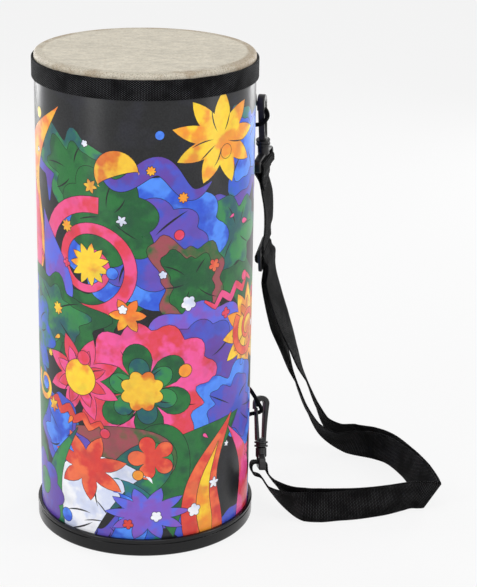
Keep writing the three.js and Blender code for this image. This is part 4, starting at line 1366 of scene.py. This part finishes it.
def strap_stations():
    """The stations of the strap's upper length and of its loop."""
    size = sizes()
    web, gap = size.web_thickness / MM, size.seat_gap / MM
    width, drum = size.web_width / MM, size.drum_radius / MM
    pitch = web + gap
    # Half sizes of a base's bar, then the slider's: half thickness, half middle bar, slot, end bar
    bar_x, bar_z = 2.5, 2.0
    thick, near, slot_width, end_bar = 1.2, 1.2, 5.6, 3.6
    half_length = near + slot_width + end_bar
    edge = near + slot_width
    upper, slide, lower = UPPER_AXES, SLIDER_AXES, LOWER_AXES
    legs = pitch / 2 + 0.05 * web
    sewn, sewn_length = 4.5 * bar_z, 15.0
    drift, lean, turn = width / 5, math.radians(12), math.radians(9)
    place_up, place_slide = np.array(UPPER_PLACE), np.array(SLIDER_PLACE)
    run = []
    for share, out, aside, *across in RUN_ROUTE:
        at = place_up + (place_slide - place_up) * share + np.array([out * width, aside * width, 0])
        run.append([*at, *unit(np.array(across))])
    upper_strap = [
        station(upper, legs, -sewn - sewn_length / 2, drift, lean, turn),
        station(upper, legs, -sewn, drift / 3, lean / 2, turn / 2),
        *round_corner(upper, bar_x, -bar_z, 0, [-25, 0]),
        *round_corner(upper, bar_x, bar_z, 0, [0, 45, 90]),
        *round_corner(upper, -bar_x, bar_z, 0, [90, 135, 180]),
        *round_corner(upper, -bar_x, -bar_z, 0, [180, 205]),
        station(upper, -legs, -sewn, drift / 3, lean / 2, turn / 2),
        station(upper, -legs, -sewn - sewn_length / 2, drift, lean, turn),
        *run,
        station(slide, thick + pitch / 2 + gap, half_length + 1.4 * end_bar),
        *round_corner(slide, thick, edge, 0, [0, -35, -75]),
        *round_corner(slide, -thick, near, 1, [95, 120, 150, 180]),
        station(slide, -thick - 1.5 * pitch - gap / 2, gap / 2),
    ]
    slider_height = SLIDER_PLACE[2] + DRUM_HEIGHT
    outer, gaps = [station(slide, thick + 2.5 * pitch, -half_length - end_bar / 3)], [2 * pitch]
    for rows, unit_height in ((FALL_ROUTE, slider_height), (FLOOR_ROUTE, width)):
        for off, aside, height, ax, ay, az, layers in rows:
            across = unit(np.array([ax, ay, az]))
            outer.append([drum + off * width, aside * width, height * unit_height - DRUM_HEIGHT, *across])
            gaps.append(layers * pitch)
    inner = set_back(outer, gaps)
    tail = set_back(outer[:2], [pitch, pitch])
    loop = [
        station(slide, -thick - 1.5 * pitch - gap / 2, -gap / 2),
        *round_corner(slide, -thick, -near, 1, [180, 210, 240, 265]),
        *round_corner(slide, thick, -edge, 0, [75, 35, 0]),
        *inner,
        station(lower, 1.75 * bar_x, -2.2 * bar_z),
        *round_corner(lower, bar_x, bar_z, 0, [0, 45, 80]),
        *round_corner(lower, -bar_x, bar_z, 0, [100]),
        station(lower, -2.5 * bar_x, 1.35 * bar_z),
        station(lower, -3.05 * bar_x, -0.1 * bar_z),
        station(lower, -2.3 * bar_x, -2.7 * bar_z),
        station(lower, -0.3 * bar_x, -3.8 * bar_z, 0.3 * bar_z),
        *outer[::-1],
        *round_corner(slide, thick, -edge, 2, [5, 35, 55]),
        *round_corner(slide, thick + web / 3, -near, 0, [-10]),
        *round_corner(slide, thick, near, 0, [0, 45, 90]),
        *round_corner(slide, -thick, near, 0, [90, 135, 180]),
        *round_corner(slide, -thick, -near, 0, [180, 225, 270]),
        *round_corner(slide, thick, -edge, 1, [60, 30, 2]),
        *tail,
    ]
    return np.array(upper_strap), np.array(loop)


def ribbon_frames(stations):
    """Centres, directions across, directions square to the face and distances along a ribbon."""
    step = 0.62
    counts = np.maximum(2, np.round(gaps_between(stations[:, :3]) / step).astype(int))
    centres, runs = through(stations[:, :3], counts)
    index = np.append(np.repeat(np.arange(len(counts)), counts), len(counts) - 1)
    share = np.append(np.concatenate([np.arange(n) / n for n in counts]), 1.0)[:, None]
    across = unit(stations[index, 3:] * (1 - share) + stations[index + 1, 3:] * share)
    out = unit(np.cross(unit(runs), across))
    return centres, across, out, travelled_along(centres)


def web_section(width, thickness):
    """The webbing's section: two flat faces, and edges that are half circles, a little fuller
    than the faces."""
    half, edge = width / 2, thickness / 2
    flat = np.linspace(-half + 2 * edge, half - 2 * edge, 9)
    bow = np.radians(np.linspace(-78, 78, 7))
    right = np.stack([half - edge + edge * np.cos(bow), edge * np.sin(bow)], -1)
    top = np.stack([flat[::-1], np.full(9, 0.93 * edge)], -1)
    left = np.stack([-right[::-1, 0], right[::-1, 1]], -1)
    bottom = np.stack([flat, np.full(9, -0.93 * edge)], -1)
    return np.concatenate([right, top, left, bottom])


def make_ribbon(name, stations, finish):
    """A length of webbing along its stations. Its edges go in and out a little at each weft thread."""
    size = sizes()
    centres, across, out, travelled = ribbon_frames(stations)
    section = web_section(size.web_width / MM, size.web_thickness / MM)
    beat = np.cos(math.pi * np.arange(len(centres)))[:, None]
    rim = np.abs(section[:, 0]) > 0.45 * size.web_width / MM
    wide = section[None, :, 0] * (1 + 0.011 * beat * rim - 0.008 * rim)
    thick = section[None, :, 1] * (1 + 0.10 * beat * rim)
    rings = centres[:, None] + wide[..., None] * across[:, None] + thick[..., None] * out[:, None]
    return swept(name, rings, finish, "webbing", travelled, travelled_along(section))


def make_strap():
    """The strap's two lengths, which meet inside the slider."""
    upper, loop = strap_stations()
    finish = strap_weave()
    slide = np.array(SLIDER_PLACE) * MM
    for name, stations, node, towards in (
            ("strap_run", upper, "strap_upper", np.array([-2.0, -21.0, 55.0])),
            ("strap_loop_web", loop, "strap_loop", np.array([14.0, 17.0, -78.0]))):
        made = make_ribbon(name, stations, finish)
        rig.replaces(made, node)
        near = slide + np.array([0, 0, math.copysign(13.0, towards[2])]) * MM
        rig.blend(made, "slider", "drum", tuple(near), tuple(slide + towards * MM))


def sewn_line(start, end, pitch):
    """Middles and directions of stitches along a straight line, in ribbon distances."""
    start, end = np.array(start, float), np.array(end, float)
    reach = np.linalg.norm(end - start)
    count = max(1, int(reach / pitch))
    share = (np.arange(count) + 0.5)[:, None] / count
    return start + (end - start) * share, np.repeat((end - start)[None] / reach, count, 0)


def stitches(name, frames, lines, finish):
    """Short lengths of thread along lines on one face of a ribbon, all in one mesh. Each is an
    arched tube of four hexagonal sections, sunk into the web at both ends."""
    size = sizes()
    radius = size.thread_diameter / MM / 2
    centres, across, out, travelled = frames
    pitch = 2.6
    made = [sewn_line(a, b, pitch) for a, b in lines]
    spots = np.concatenate([m[0] for m in made])
    runs = np.concatenate([m[1] for m in made])

    def at(values):
        """Values of the ribbon's frames at the stitches' middles."""
        return np.stack([np.interp(spots[:, 0], travelled, values[:, k]) for k in range(3)], -1)

    side, up = unit(at(across)), -unit(at(out))
    ahead = unit(at(np.gradient(centres, axis=0)))
    middle = at(centres) + side * spots[:, 1:] + up * size.web_thickness / MM / 2 * 0.93
    along = unit(ahead * runs[:, :1] + side * runs[:, 1:])
    aside = np.cross(up, along)
    reach = np.array([-1.05, -0.5, 0.5, 1.05])
    arch = np.array([-0.35, 0.55, 0.55, -0.35]) * radius
    width = np.array([0.55, 1.0, 1.0, 0.55]) * radius
    sections, sides = 4, 6
    angle = turn_of(sides)
    x = np.broadcast_to(reach[:, None], (sections, sides))
    y = width[:, None] * np.cos(angle)
    z = arch[:, None] + width[:, None] * np.sin(angle)
    points = (middle[:, None, None] + x[None, ..., None] * along[:, None, None]
              + y[None, ..., None] * aside[:, None, None] + z[None, ..., None] * up[:, None, None])
    faces = quads(sections, sides)[0][:, ::-1]
    count = sections * sides
    caps = [list(range(sides)), list(range(count - 1, count - 1 - sides, -1))]
    every = []
    for first in range(0, count * len(spots), count):
        every.extend((faces + first).tolist())
        every.extend([[v + first for v in cap] for cap in caps])
    return piece(name, points.reshape(-1, 3), every, finish, "webbing")


def make_stitching():
    """The box with a cross that holds the strap's folded end below the upper hook."""
    upper, _ = strap_stations()
    frames = ribbon_frames(upper)
    half = sizes().web_width / MM / 2 - 2.4
    first, last = 1.3, 11.5
    corners = [(first, -half), (last, -half), (last, half), (first, half)]
    box = [*zip(corners, corners[1:] + corners[:1]), (corners[0], corners[2]), (corners[3], corners[1])]
    # The fold's two ends are equally far along from its highest point
    fold = float(np.argmax(frames[0][:, 2])) / len(frames[0]) * frames[3][-1]
    mirrored = [((2 * fold - a[0], a[1]), (2 * fold - b[0], b[1])) for a, b in box]
    finish = sewing_thread()
    for side, lines in (("outside", box), ("inside", mirrored)):
        made = stitches(f"stitches_{side}", frames, lines, finish)
        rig.ride(made, "drum")


# Moulded fittings


def melted(name, node, voxel, smoothings, finish, slot, body):
    """A moulded copy of a CAD node: its surface is rebuilt at an even fineness and relaxed, which
    rounds its edges as a mould does."""
    source = frame["nodes"][node]
    mesh = bmesh.new()
    mesh.from_mesh(source.data)
    bmesh.ops.remove_doubles(mesh, verts=mesh.verts, dist=0.002 * MM)
    data = bpy.data.meshes.new(name)
    mesh.to_mesh(data)
    mesh.free()
    rough = bpy.data.objects.new(f"{name}_rough", data)
    bpy.context.scene.collection.objects.link(rough)
    remesh = rough.modifiers.new("even", "REMESH")
    remesh.mode = "VOXEL"
    remesh.voxel_size = voxel * MM
    relax = rough.modifiers.new("relax", "SMOOTH")
    relax.factor = 0.5
    relax.iterations = smoothings
    bpy.context.view_layer.update()
    shown = rough.evaluated_get(bpy.context.evaluated_depsgraph_get())
    final = bpy.data.meshes.new_from_object(shown)
    bpy.data.objects.remove(rough)
    final.name = name
    final.shade_smooth()
    final.materials.clear()
    final.materials.append(finish)
    made = bpy.data.objects.new(name, final)
    bpy.context.scene.collection.objects.link(made)
    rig.slot(made, slot)
    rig.replaces(made, node)
    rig.ride(made, body)


# Each fitting: piece, CAD node, fineness in millimetres, times that it is relaxed, body
FITTINGS = [
    ("upper_base", "upper_swivel_base", 0.28, 3, "drum"),
    ("upper_snap_hook", "upper_hook", 0.26, 3, "upper_hook"),
    ("upper_gate_leaf", "upper_hook_gate", 0.20, 2, "upper_gate"),
    ("lower_base", "lower_swivel_base", 0.28, 3, "drum"),
    ("lower_snap_hook", "lower_hook", 0.26, 3, "lower_hook"),
    ("lower_gate_leaf", "lower_hook_gate", 0.20, 2, "lower_gate"),
    ("three_bar_slider", "slider", 0.26, 3, "slider"),
]


def make_fittings():
    """Hooks, gates, bases and the slider."""
    finish = moulded("fitting plastic", colours().plastic, 0.38, 1800.0)
    for name, node, voxel, smoothings, body in FITTINGS:
        melted(name, node, voxel, smoothings, finish, "hook_plastic", body)


# Stage


def make_floor():
    """The floor. It glows evenly where the camera or a reflection sees it, and else is plain."""
    tone = colours().floor
    finish = Finish("pale floor", roughness=1.0, Specular_IOR_Level=0.0)
    finish.join(finish.shader.inputs["Base Color"], tone)
    path = finish.node("ShaderNodeLightPath")
    seen = Wire(finish, path.outputs["Is Camera Ray"]) + Wire(finish, path.outputs["Is Glossy Ray"])
    glow = finish.node("ShaderNodeEmission", None, {"Color": tone, "Strength": 1.0})
    share = finish.number(
        "ShaderNodeMath", {"operation": "MULTIPLY", "use_clamp": True}, {0: seen, 1: 0.90})
    mix = finish.node(
        "ShaderNodeMixShader", None, {0: share, 1: finish.shader.outputs[0], 2: glow.outputs[0]})
    finish.join(finish.tree.nodes["Material Output"].inputs["Surface"], mix.outputs[0])
    reach, level = 3.0, FLOOR - 0.3 * MM
    mesh = bpy.data.meshes.new("floor")
    corners = [(x * reach, y * reach, level) for x, y in ((-1, -1), (1, -1), (1, 1), (-1, 1))]
    mesh.from_pydata(corners, [], [(0, 1, 2, 3)])
    mesh.materials.append(finish.material)
    ground = bpy.data.objects.new("floor", mesh)
    bpy.context.scene.collection.objects.link(ground)
    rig.stage(ground)


def make_world():
    """The backdrop: pale where the camera or a reflection sees it, and an even light elsewhere."""
    world = bpy.data.worlds.new("studio")
    world.use_nodes = True
    bpy.context.scene.world = world
    sky = Nodes(world.node_tree)
    lit = sky.tree.nodes["Background"]
    sky.join(lit.inputs["Color"], (1.0, 1.0, 1.0))
    sky.join(lit.inputs["Strength"], 0.42)
    plain = sky.node("ShaderNodeBackground", None, {"Color": colours().floor, "Strength": 1.0})
    path = sky.node("ShaderNodeLightPath")
    seen = sky.number("ShaderNodeMath", {"operation": "MAXIMUM"}, {
        0: path.outputs["Is Camera Ray"], 1: path.outputs["Is Glossy Ray"]})
    mix = sky.node("ShaderNodeMixShader", None, {0: seen, 1: lit.outputs[0], 2: plain.outputs[0]})
    sky.join(sky.tree.nodes["World Output"].inputs["Surface"], mix.outputs[0])


# Each lamp: name, place, width and height, power. All point close to the drum's middle.
LAMPS = [
    ("left strip", (-0.95, -0.75, 0.10), (0.35, 1.1), 5.0),
    ("right strip", (1.10, -0.35, 0.15), (0.30, 1.1), 4.5),
    ("top box", (-0.10, -0.35, 1.25), (1.1, 0.9), 7.0),
    ("front box", (0.25, -1.60, 0.65), (0.9, 0.7), 5.0),
    ("left back strip", (-0.80, 1.00, 0.0), (0.22, 1.3), 9.0),
    ("right back strip", (0.80, 1.00, 0.0), (0.22, 1.3), 8.0),
]
DRUM_MIDDLE = (0, 0, -0.18)


def make_stage():
    """Floor, backdrop and lamps."""
    scene = bpy.context.scene
    scene.view_settings.view_transform = "Standard"
    make_floor()
    make_world()
    for name, place, (width, height), power in LAMPS:
        light = bpy.data.lights.new(name, "AREA")
        light.shape = "RECTANGLE"
        light.size, light.size_y = width, height
        light.energy = power
        lamp = bpy.data.objects.new(name, light)
        lamp.location = place
        aim = Vector(DRUM_MIDDLE) - Vector(place)
        lamp.rotation_euler = aim.to_track_quat("-Z", "Y").to_euler()
        lamp.visible_camera = False
        scene.collection.objects.link(lamp)


def make_camera():
    """The camera where the photograph was taken from, fitted to the drum's ellipses and outline."""
    yaw, pitch, roll = 0.05403, 0.34309, 0.01843
    ahead = Vector((math.sin(yaw) * math.cos(pitch), math.cos(yaw) * math.cos(pitch), -math.sin(pitch)))
    right0 = Vector((math.cos(yaw), -math.sin(yaw), 0.0))
    up0 = right0.cross(ahead)
    right = math.cos(roll) * right0 + math.sin(roll) * up0
    up = -math.sin(roll) * right0 + math.cos(roll) * up0
    data = bpy.data.cameras.new("camera")
    data.sensor_width = 36.0
    data.lens = 112.1
    data.clip_start, data.clip_end = 0.05, 20.0
    camera = bpy.data.objects.new("camera", data)
    turn = Matrix((right, up, -ahead)).transposed().to_4x4()
    camera.matrix_world = Matrix.Translation((0.0, -1.2325, FLOOR + 0.60985)) @ turn
    bpy.context.scene.collection.objects.link(camera)
    bpy.context.scene.camera = camera


# Operators


class ConfiguredOperator(bpy.types.Operator):
    """Runs one maker."""

    bl_options = {"REGISTER", "UNDO"}
    maker = None

    def execute(self, context):
        """Makes the piece."""
        type(self).maker()
        return {"FINISHED"}


def operator(name, label, words, maker):
    """An operator class for one piece or group of like pieces."""
    return type("CONGA_OT_" + name, (ConfiguredOperator,), {
        "bl_idname": "conga." + name, "bl_label": label, "__doc__": words, "maker": staticmethod(maker)})


def paint_shell():
    """The fibre tube keeps its CAD mesh and gets its board finish."""
    shell = frame["nodes"]["shell"]
    shell.data.materials.clear()
    shell.data.materials.append(pressed_fibre())


OPERATORS = [
    operator("camera", "Camera", "Places the camera.", make_camera),
    operator("shell", "Fibre tube", "Finishes the fibre tube.", paint_shell),
    operator("wrap", "Painted wrap", "Makes the painted paper wrap.", make_wrap),
    operator("head", "Drumhead", "Makes the drumhead's film.", make_head),
    operator("band", "Woven band", "Makes the band round the head.", make_band),
    operator("rim", "Foot rim", "Makes the moulded rim at the foot.", make_rim),
    operator("cords", "Cord loops", "Makes the two loops of cord and their knots.", make_cords),
    operator("fittings", "Hooks and slider", "Makes the moulded fittings.", make_fittings),
    operator("strap", "Strap", "Makes the webbing.", make_strap),
    operator("stitching", "Stitching", "Sews the strap's folded end.", make_stitching),
    operator("stage", "Stage", "Makes the floor, backdrop and lamps.", make_stage),
]


class CONGA_PT_panel(bpy.types.Panel):
    """Lists the conga's operators, sizes and colours."""

    bl_label = "Conga"
    bl_idname = "CONGA_PT_panel"
    bl_space_type = "VIEW_3D"
    bl_region_type = "UI"
    bl_category = "Conga"

    def draw(self, context):
        """Draws the panel."""
        for group in (context.scene.conga_sizes, context.scene.conga_colours):
            for key in group.__annotations__:
                self.layout.prop(group, key)
        for kind in OPERATORS:
            self.layout.operator(kind.bl_idname)


CLASSES = [CongaSizes, CongaColours, *OPERATORS, CONGA_PT_panel]


def register():
    """Registers the classes and the scene's property groups."""
    for kind in CLASSES:
        bpy.utils.register_class(kind)
    bpy.types.Scene.conga_sizes = bpy.props.PointerProperty(type=CongaSizes)
    bpy.types.Scene.conga_colours = bpy.props.PointerProperty(type=CongaColours)


def unregister():
    """Removes the property groups and the classes."""
    del bpy.types.Scene.conga_sizes
    del bpy.types.Scene.conga_colours
    for kind in reversed(CLASSES):
        bpy.utils.unregister_class(kind)


def main():
    """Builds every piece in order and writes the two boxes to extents.json."""
    register()
    for kind in OPERATORS:
        getattr(bpy.ops.conga, kind.bl_idname.split(".")[1])()
    shown = [list(corner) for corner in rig.bounds()]
    with open("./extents.json", "w") as file:
        json.dump({"cad": CAD_BOX, "visual": shown}, file)


if __name__ == "__main__":
    main()
